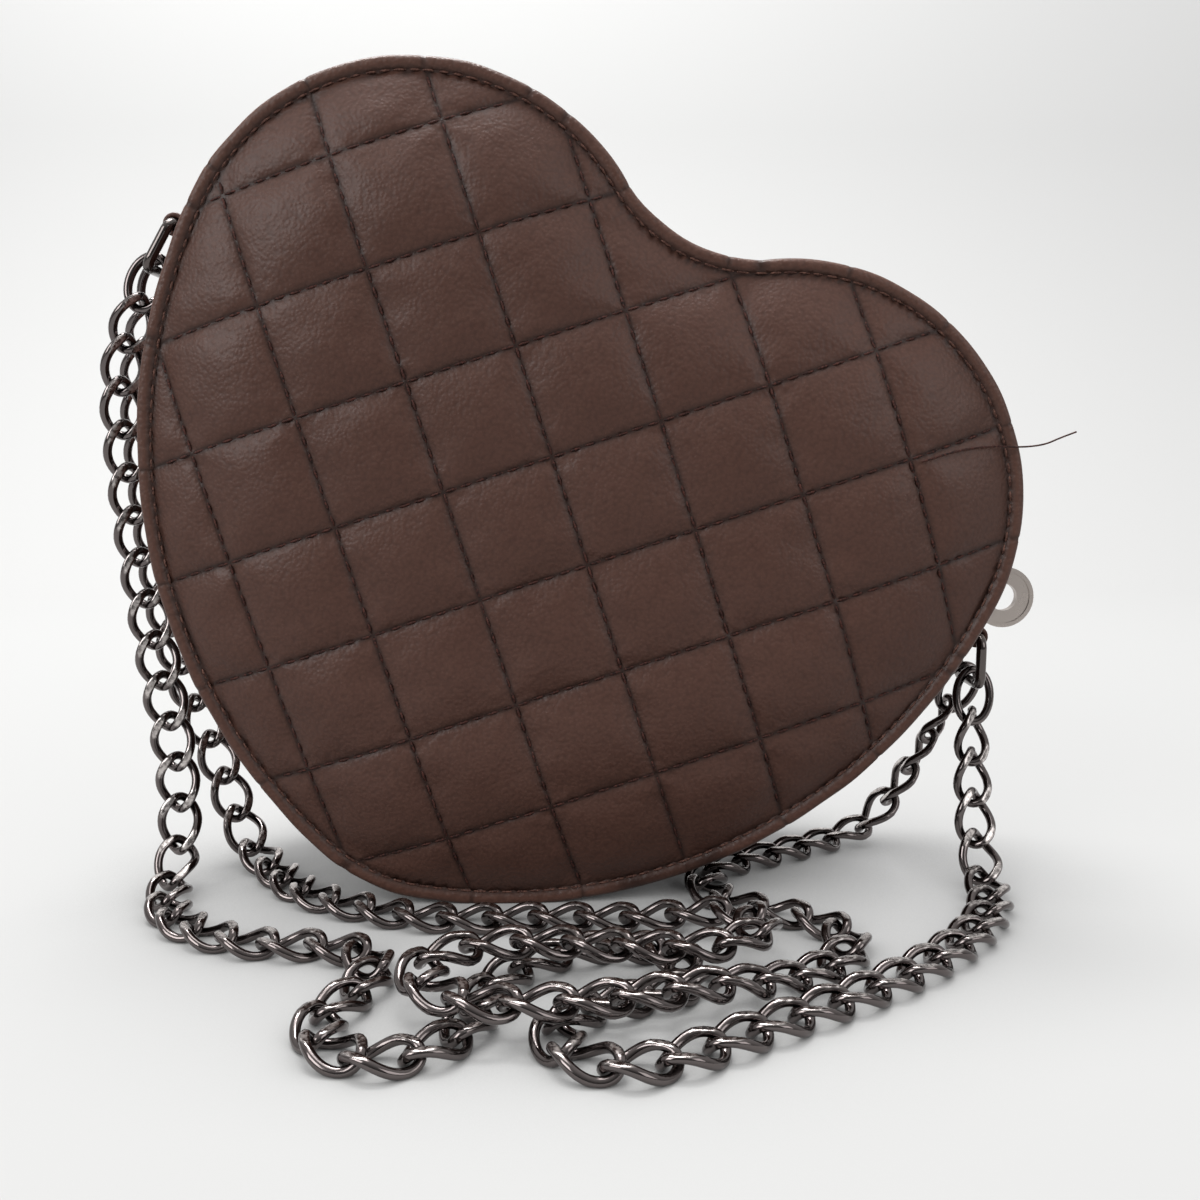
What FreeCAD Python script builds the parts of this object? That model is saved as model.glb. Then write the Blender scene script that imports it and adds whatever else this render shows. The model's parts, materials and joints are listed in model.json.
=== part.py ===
import FreeCAD, Part
import math
import os

os.makedirs("parts", exist_ok=True)
V = FreeCAD.Vector

# A heart-shaped quilted shoulder bag, standing on its lower left flank, with its two chains laid in front.
# The bag is drawn upright, with the heart in the XZ plane and its front towards -Y. Then it is leaned and
# lifted onto the floor. Sizes are in millimetres. An inset is a distance inwards from the outer edge.

# Heart outline: the outer edge of the bound seams
lobe_radius = 52.5
lobe_overlap = 8.0
side_radius = 121.0
tip_radius = 40.0
notch_height = 40.0
lean_deg = 27.0

# Depth and bound seams
bag_depth = 56.0
binding_width = 4.0
binding_leather = 1.0
binding_edge_round = 0.9
seam_gap = 0.1
standing_flat_depth = 0.5

# Quilted panels: leather, foam, board and lining
skin_thick = 1.1
crown_height = 8.0
crown_run = 33.0
crown_steps = 5
crown_power = 2.3
quilt_cell = 24.0
quilt_cross_x = -90.34
quilt_cross_z = 3.41
quilt_depth = 2.3
quilt_sunk = 0.9
quilt_soft = 3.4
quilt_border_soft = 2.2
board_thick = 1.4
lining_thick = 0.6
wall_clear = 0.3

# Gusset
gusset_thick = 1.4
seam_level = -6.0
cross_seam_gap = 0.4

# Zip
zip_window = 11.0
tape_width = 12.0
tape_thick = 0.6
tooth_pitch = 3.0
tooth_length = 1.25
tooth_reach = 2.8
tooth_overlap = 0.9
tooth_height = 2.4
zip_end_deg = 6.0
stop_length = 2.4
stop_width = 2.2
top_stop_length = 2.0
top_stop_gap = 0.6

# Slider and its arch
slider_deg = 12.0
slider_length = 10.0
slider_width = 9.6
slider_tail_width = 8.2
slider_corner = 1.2
slider_plate = 1.2
slider_lip = 0.9
slider_lip_drop = 0.8
slider_post_width = 2.0
slider_post_length = 1.8
slider_clear = 0.35
arch_width = 2.0
arch_thick = 1.0
arch_span = 8.0
arch_room = 2.8

# Pull: a wire link and a blank washer
pull_wire = 1.6
pull_link_length = 12.2
pull_link_inside = 4.4
pull_clear = 0.55
pull_hang_deg = 42.0
disc_radius = 7.4
disc_hole_radius = 3.3
disc_thick = 1.6
disc_rim_width = 1.0
disc_rim_height = 0.25
disc_inner_rim_width = 0.8

# Leather tabs and wire rings that hold the chains
tab_reach = 8.0
tab_width = 10.5
tab_leather = 1.15
tab_clear = 0.3
ring_wire = 2.4
ring_inside_width = 14.0
ring_inside_height = 9.0
ring_corner = 2.4
left_ring_lean_deg = -30.0
right_ring_lean_deg = 0.0
ring_play = 0.5
chain_spread = 3.6

# Chain links: twisted ovals of round wire, pressed flat on both sides
link_wire = 2.0
link_length = 14.8
link_width = 10.2
link_twist_deg = 46.0
link_play = 0.9
link_press = 0.4
link_layer = 5.3
floor_gap = 0.2

# The rest of the heart follows from its driving sizes
lobe_centre_x = lobe_radius - lobe_overlap
notch_radius = (notch_height**2 + lobe_centre_x**2 - lobe_radius**2) / (2 * (lobe_radius - notch_height))
notch_centre_z = notch_height + notch_radius
lobe_end_deg = math.degrees(math.atan2(notch_centre_z, -lobe_centre_x))
side_centre_x = lobe_centre_x - (side_radius - lobe_radius)
tip_centre_z = -math.sqrt((side_radius - tip_radius) ** 2 - side_centre_x**2)
side_end_deg = math.degrees(math.atan2(tip_centre_z, -side_centre_x))
lean = math.radians(lean_deg)
lowest_z = -side_centre_x * math.sin(lean) - side_radius
lift = -lowest_z - standing_flat_depth
far_out = 4 * side_radius
along_share = 0.9
smooth_steps = 24

# Layers from the front face of the front seam inwards; the back is its mirror
front_y = -bag_depth / 2
skin_y = front_y + binding_leather + seam_gap / 2
flange_y = skin_y + skin_thick + seam_gap
inner_leather_y = flange_y + gusset_thick + seam_gap / 2
binding_back_y = inner_leather_y + binding_leather
foam_back_y = flange_y + gusset_thick
board_y = foam_back_y + seam_gap
lining_y = board_y + board_thick + seam_gap
cavity_y = lining_y + lining_thick
gusset_inset = binding_width
gusset_inner_inset = gusset_inset + gusset_thick
panel_inset = gusset_inner_inset + wall_clear
crown_start = binding_width + wall_clear
tape_inset = gusset_inner_inset + seam_gap
tooth_mid_inset = tape_inset + tape_thick / 2
tooth_out_inset = tooth_mid_inset - tooth_height / 2
tooth_in_inset = tooth_mid_inset + tooth_height / 2


def polar(centre_x, centre_z, radius, angle_deg, y=0):
    a = math.radians(angle_deg)
    return V(centre_x + radius * math.cos(a), y, centre_z + radius * math.sin(a))


def arc(centre_x, centre_z, radius, start_deg, end_deg):
    middle = (start_deg + end_deg) / 2
    ends = [polar(centre_x, centre_z, radius, t) for t in (start_deg, middle, end_deg)]
    return Part.Arc(*ends).toShape()


# Arcs of the outline: centre x and z, radius, first and last angle, and -1 where it curves inwards
heart_arcs = [
    (0, notch_centre_z, notch_radius, -lobe_end_deg, lobe_end_deg - 180, -1),
    (lobe_centre_x, 0, lobe_radius, lobe_end_deg, 0, 1),
    (side_centre_x, 0, side_radius, 0, side_end_deg, 1),
    (0, tip_centre_z, tip_radius, side_end_deg, -180 - side_end_deg, 1),
    (-side_centre_x, 0, side_radius, -180 - side_end_deg, -180, 1),
    (-lobe_centre_x, 0, lobe_radius, 180, 180 - lobe_end_deg, 1),
]


def heart_wire(inset, y):
    """The heart's outline, moved inwards by inset, as arcs that meet without a corner."""
    wire = Part.Wire([arc(x, z, r - sense * inset, a0, a1) for x, z, r, a0, a1, sense in heart_arcs])
    wire.translate(V(0, y, 0))
    return wire


def inset_of(x, z):
    """How far inside the outline a place is: the least over the arcs whose sector holds it."""
    best = far_out
    for cx, cz, radius, start, end, sense in heart_arcs:
        turn = math.degrees(math.atan2(z - cz, x - cx)) - (start + end) / 2
        turn = (turn + 180) % 360 - 180
        if abs(turn) <= abs(end - start) / 2:
            best = min(best, sense * (radius - math.hypot(x - cx, z - cz)))
    return best


def heart_slab(inset, y0, y1):
    return Part.Face(heart_wire(inset, y0)).extrude(V(0, y1 - y0, 0))


def heart_band(outer_inset, inner_inset, y0, y1):
    return heart_slab(outer_inset, y0, y1).cut(heart_slab(inner_inset, y0, y1))


def heart_dome(start_inset, base_y, height, run):
    """A crowned heart: steep at its edge, level after run."""
    wires = []
    for k in range(crown_steps + 1):
        t = k / crown_steps
        rise = height * (1 - (1 - t) ** crown_power)
        wires.append(heart_wire(start_inset + run * t, base_y - rise))
    return Part.makeLoft(wires, True, True)


def box(x0, x1, y0, y1, z0, z1):
    return Part.makeBox(x1 - x0, y1 - y0, z1 - z0, V(x0, y0, z0))


def half(shape, z0, z1):
    return shape.common(box(-far_out, far_out, -bag_depth, bag_depth, z0, z1))


def mirror_y(shape):
    return shape.mirror(V(0, 0, 0), V(0, 1, 0))


def bound_seam():
    """The leather strip folded round the edges of panel and gusset: a channel that opens inwards."""
    strip = heart_band(0, binding_width - seam_gap, front_y, binding_back_y)
    outer = [e for e in strip.Edges if is_outer_edge(e)]
    strip = strip.makeFillet(binding_edge_round, outer)
    slot = heart_slab(binding_leather, front_y + binding_leather, inner_leather_y)
    return strip.cut(slot)


def is_outer_edge(edge):
    """True for an edge of the outline itself, on the front or back of the folded strip."""
    mid = edge.valueAt((edge.FirstParameter + edge.LastParameter) / 2)
    ends_y = {round(v.Point.y, 3) for v in edge.Vertexes}
    level = len(ends_y) == 1
    gap = heart_wire(0, mid.y).distToShape(Part.Vertex(mid))[0]
    return level and gap < seam_gap


def swell(distance, soft):
    """How far padding has risen at a distance from a seam, from 0 to 1."""
    return 1 - math.exp(-max(distance, 0) / soft)


poles_per_cell = 4
line_pole = -swell(quilt_cell / poles_per_cell, quilt_soft) / 3


def cell_pole(k):
    """One pole's share of a pillow across a cell. The pole on a line is low, to bring the surface to 0."""
    f = k % poles_per_cell / poles_per_cell
    return swell(min(f, 1 - f) * quilt_cell, quilt_soft) if f else line_pole


def quilt_rise(i, j, x, z):
    """Height of a pole over the seam: the crown and its pillow, less what the seams pull in."""
    inset = inset_of(x, z)
    t = min(max((inset - crown_start) / crown_run, 0), 1)
    border = swell(inset - crown_start, quilt_border_soft)
    pillow = quilt_depth * cell_pole(i) * cell_pole(j) - quilt_sunk
    return crown_height * (1 - (1 - t) ** crown_power) + pillow * border


def quilted_face():
    """One smooth face over the whole panel, with its poles on the lattice of the quilting seams."""
    side = quilt_cell / math.sqrt(2)
    around = [p for e in heart_wire(0, 0).Edges for p in e.discretize(smooth_steps)]
    counts = []
    for sign in (1, -1):
        at = [((p.x - quilt_cross_x) + sign * (p.z - quilt_cross_z)) / (2 * side) for p in around]
        counts.append(range(poles_per_cell * math.floor(min(at)), poles_per_cell * math.ceil(max(at)) + 1))
    poles = []
    for i in counts[0]:
        row = []
        for j in counts[1]:
            x = quilt_cross_x + (i + j) / poles_per_cell * side
            z = quilt_cross_z + (i - j) / poles_per_cell * side
            row.append(V(x, skin_y - quilt_rise(i, j, x, z), z))
        poles.append(row)
    knots = [list(range(len(c) - 1)) for c in counts]
    mults = [[3] + [1] * (len(k) - 2) + [3] for k in knots]
    surface = Part.BSplineSurface()
    surface.buildFromPolesMultsKnots(poles, mults[0], mults[1], knots[0], knots[1], False, False, 2, 2)
    return surface.toShape()


def panel_skin():
    """Leather face of a panel: its rim lies in the bound seam and its quilted middle stands proud."""
    rim = heart_band(binding_leather + seam_gap, crown_start + skin_thick, skin_y, skin_y + skin_thick)
    sheet = quilted_face().extrude(V(0, skin_thick, 0))
    sheet = sheet.common(heart_slab(crown_start, -bag_depth, 0))
    return rim.fuse(sheet).removeSplitter()


def panel_foam():
    start = crown_start + skin_thick + quilt_soft
    height, run = crown_height - quilt_sunk - 2 * seam_gap, crown_start + crown_run - start
    dome = heart_dome(start, flange_y, height, run)
    base = heart_slab(panel_inset, flange_y, foam_back_y)
    return dome.fuse(base).removeSplitter()


def gusset_ring():
    """The side wall all round, with a rim turned outwards into each bound seam."""
    wall = heart_band(gusset_inset, gusset_inner_inset, flange_y, -flange_y)
    rim = heart_band(binding_leather + seam_gap, gusset_inset, flange_y, flange_y + gusset_thick)
    return wall.multiFuse([rim, mirror_y(rim)]).removeSplitter()


bag, hung = {}, {}

# Panels and seams
bag["front_panel_leather"] = panel_skin()
bag["front_panel_foam"] = panel_foam()
bag["front_panel_board"] = heart_slab(panel_inset, board_y, board_y + board_thick)
bag["front_panel_lining"] = heart_slab(panel_inset, lining_y, cavity_y)
bag["front_binding"] = bound_seam()
for piece in ("panel_leather", "panel_foam", "panel_board", "panel_lining", "binding"):
    bag["back_" + piece] = mirror_y(bag["front_" + piece])

# Gusset: a plain strip below the two tabs, and two strips with the zip between them above
tab_neck = 2 * tab_leather
tab_x = lobe_centre_x + lobe_radius + tab_reach
tab_slot_half = tab_neck / 2 + tab_clear
whole_gusset = gusset_ring()
tab_slots = box(
    -tab_x, tab_x, -tab_width / 2 - tab_clear, tab_width / 2 + tab_clear,
    seam_level - tab_slot_half, seam_level + tab_slot_half,
)
lower = half(whole_gusset, -far_out, seam_level - cross_seam_gap / 2)
bag["lower_gusset"] = lower.cut(tab_slots)
upper = half(whole_gusset, seam_level + cross_seam_gap / 2, far_out).cut(tab_slots)
bag["zip_gusset_front"] = upper.common(
    box(-far_out, far_out, -bag_depth, -zip_window / 2, -far_out, far_out)
)
bag["zip_gusset_back"] = mirror_y(bag["zip_gusset_front"])
lining_inset = gusset_inner_inset + seam_gap
lining_half_y = -cavity_y - wall_clear
lining_ring = heart_band(lining_inset, lining_inset + lining_thick, -lining_half_y, lining_half_y)
bag["lower_gusset_lining"] = half(lining_ring, -far_out, seam_level - tab_slot_half - wall_clear)

# Zip tapes, and a lining strip under each
tape_in_y = tooth_reach + seam_gap
tape_out_y = tape_in_y + tape_width
tape_ring = heart_band(tape_inset, tape_inset + tape_thick, -tape_out_y, -tape_in_y)
bag["zip_tape_front"] = half(tape_ring, seam_level + tab_slot_half + wall_clear, far_out)
bag["zip_tape_back"] = mirror_y(bag["zip_tape_front"])
zip_lining = heart_band(lining_inset, lining_inset + lining_thick, -lining_half_y, -tape_out_y - wall_clear)
bag["zip_lining_front"] = half(zip_lining, seam_level + tab_slot_half + wall_clear, far_out)
bag["zip_lining_back"] = mirror_y(bag["zip_lining_front"])

# The zip runs over the right lobe, through the notch and over the left lobe
zip_arcs = [
    (lobe_centre_x, 0, lobe_radius, slider_deg, lobe_end_deg, 1),
    (0, notch_centre_z, notch_radius, lobe_end_deg - 180, -lobe_end_deg, -1),
    (-lobe_centre_x, 0, lobe_radius, 180 - lobe_end_deg, 180 - zip_end_deg, 1),
]


zip_runs = [
    math.radians(abs(end - start)) * (radius - sense * tooth_mid_inset)
    for cx, cz, radius, start, end, sense in zip_arcs
]
zip_length = sum(zip_runs)


def zip_place(s):
    """Arc centre, outward angle and radial sense at a length s along the zip's middle line."""
    k = 0
    while k < len(zip_arcs) - 1 and s > zip_runs[k]:
        s -= zip_runs[k]
        k += 1
    cx, cz, radius, start, end, sense = zip_arcs[k]
    r = radius - sense * tooth_mid_inset
    turn = math.copysign(math.degrees(s / r), end - start)
    return cx, cz, r, start + turn, sense


def zip_block(s, length, y0, y1):
    """A block across the zip at length s, square to its line."""
    cx, cz, r, angle, sense = zip_place(s)
    block = box(-tooth_height / 2, tooth_height / 2, y0, y1, -length / 2, length / 2)
    block.rotate(V(0, 0, 0), V(0, 1, 0), -angle)
    block.translate(polar(cx, cz, r, angle))
    return block


front_teeth, back_teeth = [], []
along = tooth_pitch / 2
while along + tooth_pitch <= zip_length:
    front_teeth.append(zip_block(along, tooth_length, -tooth_reach, tooth_overlap))
    back_teeth.append(zip_block(along + tooth_pitch / 2, tooth_length, -tooth_overlap, tooth_reach))
    along += tooth_pitch
bag["zip_teeth_front"] = Part.makeCompound(front_teeth)
bag["zip_teeth_back"] = Part.makeCompound(back_teeth)
bag["zip_end_stop"] = zip_block(along + stop_length / 2, stop_length, -stop_width, stop_width)


def lobe_sector(outer_inset, inner_inset, half_deg, y_half):
    """A curved plate on a lobe's circle, about the +X direction from the lobe's centre."""
    r1, r0 = lobe_radius - outer_inset, lobe_radius - inner_inset
    wire = Part.Wire([
        arc(0, 0, r1, -half_deg, half_deg),
        Part.makeLine(polar(0, 0, r1, half_deg), polar(0, 0, r0, half_deg)),
        arc(0, 0, r0, half_deg, -half_deg),
        Part.makeLine(polar(0, 0, r0, -half_deg), polar(0, 0, r1, -half_deg)),
    ])
    plate = Part.Face(wire).extrude(V(0, 2 * y_half, 0))
    plate.translate(V(0, -y_half, 0))
    return plate


def slider_plan(margin, overrun):
    """The slider's outline seen from outside, wide at the nose and narrow at the tail, as a prism."""
    nose, tail = slider_width / 2 - margin, slider_tail_width / 2 - margin
    z = slider_length / 2 + overrun
    corners = [V(0, -nose, -z), V(0, nose, -z), V(0, tail, z), V(0, -tail, z)]
    prism = Part.Face(Part.makePolygon(corners + corners[:1])).extrude(V(lobe_radius, 0, 0))
    upright = [e for e in prism.Edges if abs(e.tangentAt(e.FirstParameter).x) > along_share]
    return prism.makeFillet(slider_corner, upright)


def on_right_lobe(shape, angle_deg):
    placed = shape.copy()
    placed.rotate(V(0, 0, 0), V(0, 1, 0), -angle_deg)
    placed.translate(V(lobe_centre_x, 0, 0))
    return placed


# Slider: two plates joined by a post at the nose, with lips that leave a slot for the tapes
slider_half_deg = math.degrees(slider_length / lobe_radius)
top_inset = tooth_out_inset - slider_clear
top_out_inset = top_inset - slider_plate
under_inset = tooth_in_inset + slider_clear
y_all = slider_width
plates = lobe_sector(top_out_inset, top_inset, slider_half_deg, y_all).fuse(
    lobe_sector(under_inset, under_inset + slider_plate, slider_half_deg, y_all)
).common(slider_plan(0, 0))
lips = lobe_sector(top_inset, top_inset + slider_lip_drop, slider_half_deg, y_all).fuse(
    lobe_sector(under_inset - slider_lip_drop, under_inset, slider_half_deg, y_all)
).common(slider_plan(0, 0).cut(slider_plan(slider_lip, slider_corner)))
nose_z = -slider_length / 2
post = lobe_sector(top_inset, under_inset, slider_half_deg, slider_post_width / 2).common(
    box(0, lobe_radius, -y_all, y_all, nose_z, nose_z + slider_post_length)
)
slider = plates.multiFuse([lips, post]).removeSplitter()
hung["zip_slider"] = on_right_lobe(slider, slider_deg)

# Two stops in front of the slider's nose, one clamped on each tape's edge
stop_radius = lobe_radius - tooth_mid_inset
stop_along = slider_length / 2 + top_stop_gap + top_stop_length / 2
stop_back = tooth_height / 2
top_stop = box(
    stop_radius - stop_back, stop_radius + stop_back, -tooth_reach, -top_stop_gap / 2,
    -top_stop_length / 2, top_stop_length / 2,
)
top_stop = on_right_lobe(top_stop, slider_deg - math.degrees(stop_along / stop_radius))
bag["zip_top_stops"] = Part.makeCompound([top_stop, mirror_y(top_stop)])

# Arch over the slider, which the pull's link passes under
plate_top = lobe_radius - top_out_inset
arch_top = plate_top + arch_room + arch_thick
arch = box(0, arch_top, -arch_width / 2, arch_width / 2, -arch_span / 2, arch_span / 2)
arch_corners = [
    e for e in arch.Edges
    if abs(e.tangentAt(e.FirstParameter).y) > along_share and e.CenterOfMass.x > plate_top
]
arch = arch.makeFillet(arch_room, arch_corners)
inside_half = arch_span / 2 - arch_thick
tunnel = box(0, arch_top - arch_thick, -arch_width, arch_width, -inside_half, inside_half)
tunnel_corners = [
    e for e in tunnel.Edges
    if abs(e.tangentAt(e.FirstParameter).y) > along_share and e.CenterOfMass.x > plate_top
]
tunnel = tunnel.makeFillet(arch_room - arch_thick, tunnel_corners)
core = Part.makeCylinder(plate_top, 2 * y_all, V(0, -y_all, 0), V(0, 1, 0))
hung["slider_arch"] = on_right_lobe(arch.cut(tunnel).cut(core), slider_deg)


def bent_wire(edges, radius):
    """A round wire bent along lines and arcs that meet without a corner."""
    wire = Part.Wire(edges)
    first = wire.Edges[0]
    start = first.valueAt(first.FirstParameter)
    ring = Part.Wire([Part.makeCircle(radius, start, first.tangentAt(first.FirstParameter))])
    solid = wire.makePipeShell([ring], True, False)
    return solid if solid.Volume > 0 else solid.reversed()


def closed_loop(edges, radius):
    """A closed loop of round wire, as two halves that are joined where they meet."""
    middle = len(edges) // 2
    halves = [bent_wire(edges[:middle], radius), bent_wire(edges[middle:], radius)]
    return halves[0].fuse(halves[1]).Solids[0]


def rounded_loop(half_y, drop, corner):
    """A closed loop in the YZ plane with its top bar through the origin, as lines and quarter turns."""
    y, c = half_y - corner, corner
    edges = []
    turns = [(y, -c, 90, 0), (y, c - drop, 0, -90), (-y, c - drop, -90, -180), (-y, -c, -180, -270)]
    for cy, cz, a0, a1 in turns:
        pts = [V(0, cy + c * math.cos(math.radians(a)), cz + c * math.sin(math.radians(a)))
               for a in (a0, (a0 + a1) / 2, a1)]
        if edges and (edges[-1].Vertexes[-1].Point - pts[0]).Length > seam_gap:
            edges.append(Part.makeLine(edges[-1].Vertexes[-1].Point, pts[0]))
        edges.append(Part.Arc(*pts).toShape())
    if (edges[-1].Vertexes[-1].Point - edges[0].Vertexes[0].Point).Length > seam_gap:
        edges.append(Part.makeLine(edges[-1].Vertexes[-1].Point, edges[0].Vertexes[0].Point))
    return edges


# Pull: the link hangs under the arch and a blank washer hangs in the link
pull_radius = plate_top + arch_room / 2
pull_pivot = polar(lobe_centre_x, 0, pull_radius, slider_deg)
link_half_y = (pull_link_inside + pull_wire) / 2
pull_turn = -(pull_hang_deg + lean_deg)


def on_pull(shape):
    placed = shape.copy()
    placed.rotate(V(0, 0, 0), V(0, 1, 0), pull_turn)
    placed.translate(pull_pivot)
    return placed


pull_line = rounded_loop(link_half_y, pull_link_length, link_half_y)
hung["pull_link"] = on_pull(closed_loop(pull_line, pull_wire / 2))
disc_drop = pull_link_length + disc_hole_radius - pull_wire / 2 - pull_clear


def washer(outer, inner, thick):
    y0, along_y = -thick / 2, V(0, 1, 0)
    solid = Part.makeCylinder(outer, thick, V(0, y0, -disc_drop), along_y)
    return solid.cut(Part.makeCylinder(inner, thick, V(0, y0, -disc_drop), along_y))


rim_thick = disc_thick + 2 * disc_rim_height
disc = washer(disc_radius, disc_hole_radius, disc_thick).multiFuse([
    washer(disc_radius, disc_radius - disc_rim_width, rim_thick),
    washer(disc_hole_radius + disc_inner_rim_width, disc_hole_radius, rim_thick),
]).removeSplitter()
hung["pull_disc"] = on_pull(disc)

# Leather tabs in the cross seams: a neck through the gusset and a loop round the ring's bar
loop_inside = ring_wire / 2 + tab_clear
loop_outside = loop_inside + tab_leather


def strap_tab(sense):
    x = sense * tab_x
    root = sense * (lobe_centre_x + lobe_radius - gusset_inner_inset)
    y0 = -tab_width / 2
    neck = box(min(x, root), max(x, root), y0, -y0, seam_level - tab_neck / 2, seam_level + tab_neck / 2)
    loop = Part.makeCylinder(loop_outside, tab_width, V(x, y0, seam_level), V(0, 1, 0))
    bore = Part.makeCylinder(loop_inside, tab_width, V(x, y0, seam_level), V(0, 1, 0))
    return neck.fuse(loop).removeSplitter().cut(bore)


bag["left_strap_tab"] = strap_tab(-1)
bag["right_strap_tab"] = strap_tab(1)

# The bag leans over and stands on its flank, where the bound seams are pressed flat
stand = FreeCAD.Placement(V(0, 0, lift), FreeCAD.Rotation(V(0, 1, 0), lean_deg))
floor_slab = box(-far_out, far_out, -far_out, far_out, -far_out, 0)


def leaned(shape):
    placed = shape.copy()
    placed.Placement = stand.multiply(placed.Placement)
    return placed


nodes = {name: leaned(shape) for name, shape in {**bag, **hung}.items()}
for seam in ("front_binding", "back_binding"):
    nodes[seam] = nodes[seam].cut(floor_slab)

# Wire rings in the tabs
ring_half_y = (ring_inside_width + ring_wire) / 2
ring_drop = ring_inside_height + ring_wire
ring_bar = {}
ring_pivot = {}
for side, sense, ring_lean in (("left", -1, left_ring_lean_deg), ("right", 1, right_ring_lean_deg)):
    ring = closed_loop(rounded_loop(ring_half_y, ring_drop, ring_corner), ring_wire / 2)
    pivot = stand.multVec(V(sense * tab_x, 0, seam_level))
    ring.rotate(V(0, 0, 0), V(0, 1, 0), -ring_lean)
    ring.translate(pivot)
    nodes[side + "_strap_ring"] = ring
    a = math.radians(ring_lean)
    ring_pivot[side] = pivot
    ring_bar[side] = pivot + V(ring_drop * math.sin(a), 0, -ring_drop * math.cos(a))


def arc_from(start, heading, end):
    """The arc from start to end that leaves along heading."""
    chord = end - start
    along_chord = chord / chord.Length
    sideways = heading - along_chord * heading.dot(along_chord)
    sideways.normalize()
    bend = math.acos(max(-1, min(1, heading.dot(along_chord))))
    middle = (start + end) / 2 + sideways * (chord.Length / 2 * math.tan(bend / 2))
    return Part.Arc(start, middle, end).toShape()


def two_arcs(start, heading, end, arriving):
    """Two arcs from start to end that leave along heading, arrive along arriving and share a tangent."""
    across = end - start
    both = heading + arriving
    a = 2 * (1 - heading.dot(arriving))
    b = across.dot(both)
    reach = (-b + math.sqrt(b * b + a * across.dot(across))) / a
    joint = (start + heading * reach + end - arriving * reach) / 2
    into = end - arriving * reach - start - heading * reach
    into.normalize()
    return [arc_from(start, heading, joint), arc_from(joint, into, end)]


def chain_link(twist_deg):
    """An oval of round wire along X. Its two ends are turned opposite ways about X by twist_deg."""
    half_long, half_wide = (link_length - link_wire) / 2, (link_width - link_wire) / 2
    twist = math.radians(twist_deg)
    slope = math.atan(half_wide * twist / half_long)
    c, s = math.cos(twist), math.sin(twist)
    ends = [
        (V(half_long, 0, 0), V(0, c, s)),
        (V(0, half_wide, 0), V(-math.cos(slope), 0, -math.sin(slope))),
        (V(-half_long, 0, 0), V(0, -c, s)),
        (V(0, -half_wide, 0), V(math.cos(slope), 0, -math.sin(slope))),
    ]
    edges = []
    for k, (place, heading) in enumerate(ends):
        goal, arriving = ends[(k + 1) % len(ends)]
        edges += two_arcs(place, heading, goal, arriving)
    return edges


points_per_arc = 7
curb_edges, plain_edges = chain_link(link_twist_deg), chain_link(0)
round_link, plain_link = closed_loop(curb_edges, link_wire / 2), closed_loop(plain_edges, link_wire / 2)
curb_line = [p for e in curb_edges for p in e.discretize(points_per_arc)]
plain_line = [p for e in plain_edges for p in e.discretize(points_per_arc)]
link_half_height = max(p.z for p in curb_line) + link_wire / 2 - link_press
press = box(-link_length, link_length, -link_width, link_width, -link_half_height, link_half_height)
curb_link = round_link.common(press).Solids[0]
lie = link_half_height + floor_gap
link_pitch = link_length - 2 * link_wire - link_play
link_overhang = (link_wire + link_play) / 2

# Each chain's route over the floor, as (x, y) places of its middle, and the way it hangs at both ends,
# as (x, y, height). The rear chain also lies over the front one: there its places are (x, y, share of a
# layer). The normal of the links' flat side is up on the floor and level where they hang.
up = V(0, 0, 1)
hang_turn = math.radians(link_twist_deg)
hang = V(math.cos(hang_turn), -math.sin(hang_turn), 0)
front_left_drop = [(-106.5, -5, 131), (-109.5, -7, 119), (-108.5, -8, 100), (-107, -8, 80),
                   (-104.5, -8, 60), (-102, -8, 41.5), (-100, -8.5, 28), (-99.5, -9.5, 14.5),
                   (-99, -13.5, 5.5)]
front_floor = [(-98.5, -23), (-96.5, -33), (-89.5, -43.5), (-79, -50.5), (-68, -54.5), (-57, -54),
               (-47, -58), (-44, -69), (-49, -79), (-54, -88), (-49.5, -97.5), (-40, -102),
               (-29.5, -97.5), (-24.5, -88), (-24, -77), (-19.5, -66.5), (-10, -59.5), (1, -55.5),
               (12, -58), (17.5, -67.5), (13.5, -77.5), (2.5, -80), (-7.5, -83.5), (-13, -94),
               (-6, -104), (5, -104.5), (16, -98), (27, -90.5), (38, -84), (49, -77), (59, -69.5),
               (68.5, -61), (77, -51.5), (84, -40.5), (88, -28)]
front_right_drop = [(88.5, -19, 4), (89, -13, 14), (89.5, -8.5, 25), (90, -5.5, 35.5)]
rear_left_drop = [(-107, 6, 131), (-110.5, 8, 118), (-110, 9, 97), (-108.5, 9, 77), (-106.5, 9, 58),
                  (-101, 8.5, 39.5), (-95, 8, 25), (-90, 4.5, 11), (-86.5, 1, 4.5)]
rear_floor = [(-79, -8), (-73, -18), (-66, -27.5), (-56, -33), (-46, -38.5), (-35, -41.5),
              (-24, -41.5), (-12, -41), (0, -42)]
rear_over = [(10.4, -43.7, 0.12), (21.9, -43.9, 0.43), (29, -48.8, 0.75), (32.3, -59.8, 1),
             (25, -68.8, 1), (12.2, -70, 1), (1.5, -68.5, 1), (-10, -66.5, 1), (-21, -66, 1),
             (-32, -69.5, 1), (-37.5, -79, 1), (-32, -89, 1), (-21.5, -92.5, 1), (-10.5, -92, 1),
             (0.5, -90.5, 1), (11.5, -87.5, 1), (22, -82.5, 0.8), (32, -76, 0.22)]
rear_under = [(41.5, -69), (49.5, -61), (50, -50), (42.5, -41.5), (32, -37.5), (23.5, -30), (22, -19),
              (28.5, -10), (38.5, -5), (49, 1.5), (58, 7)]
rear_right_drop = [(67.5, 11, 3.5), (74.5, 11, 11), (80.5, 9.5, 22), (86, 6.5, 34)]
front_land = V(0, -1, 0)
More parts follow.
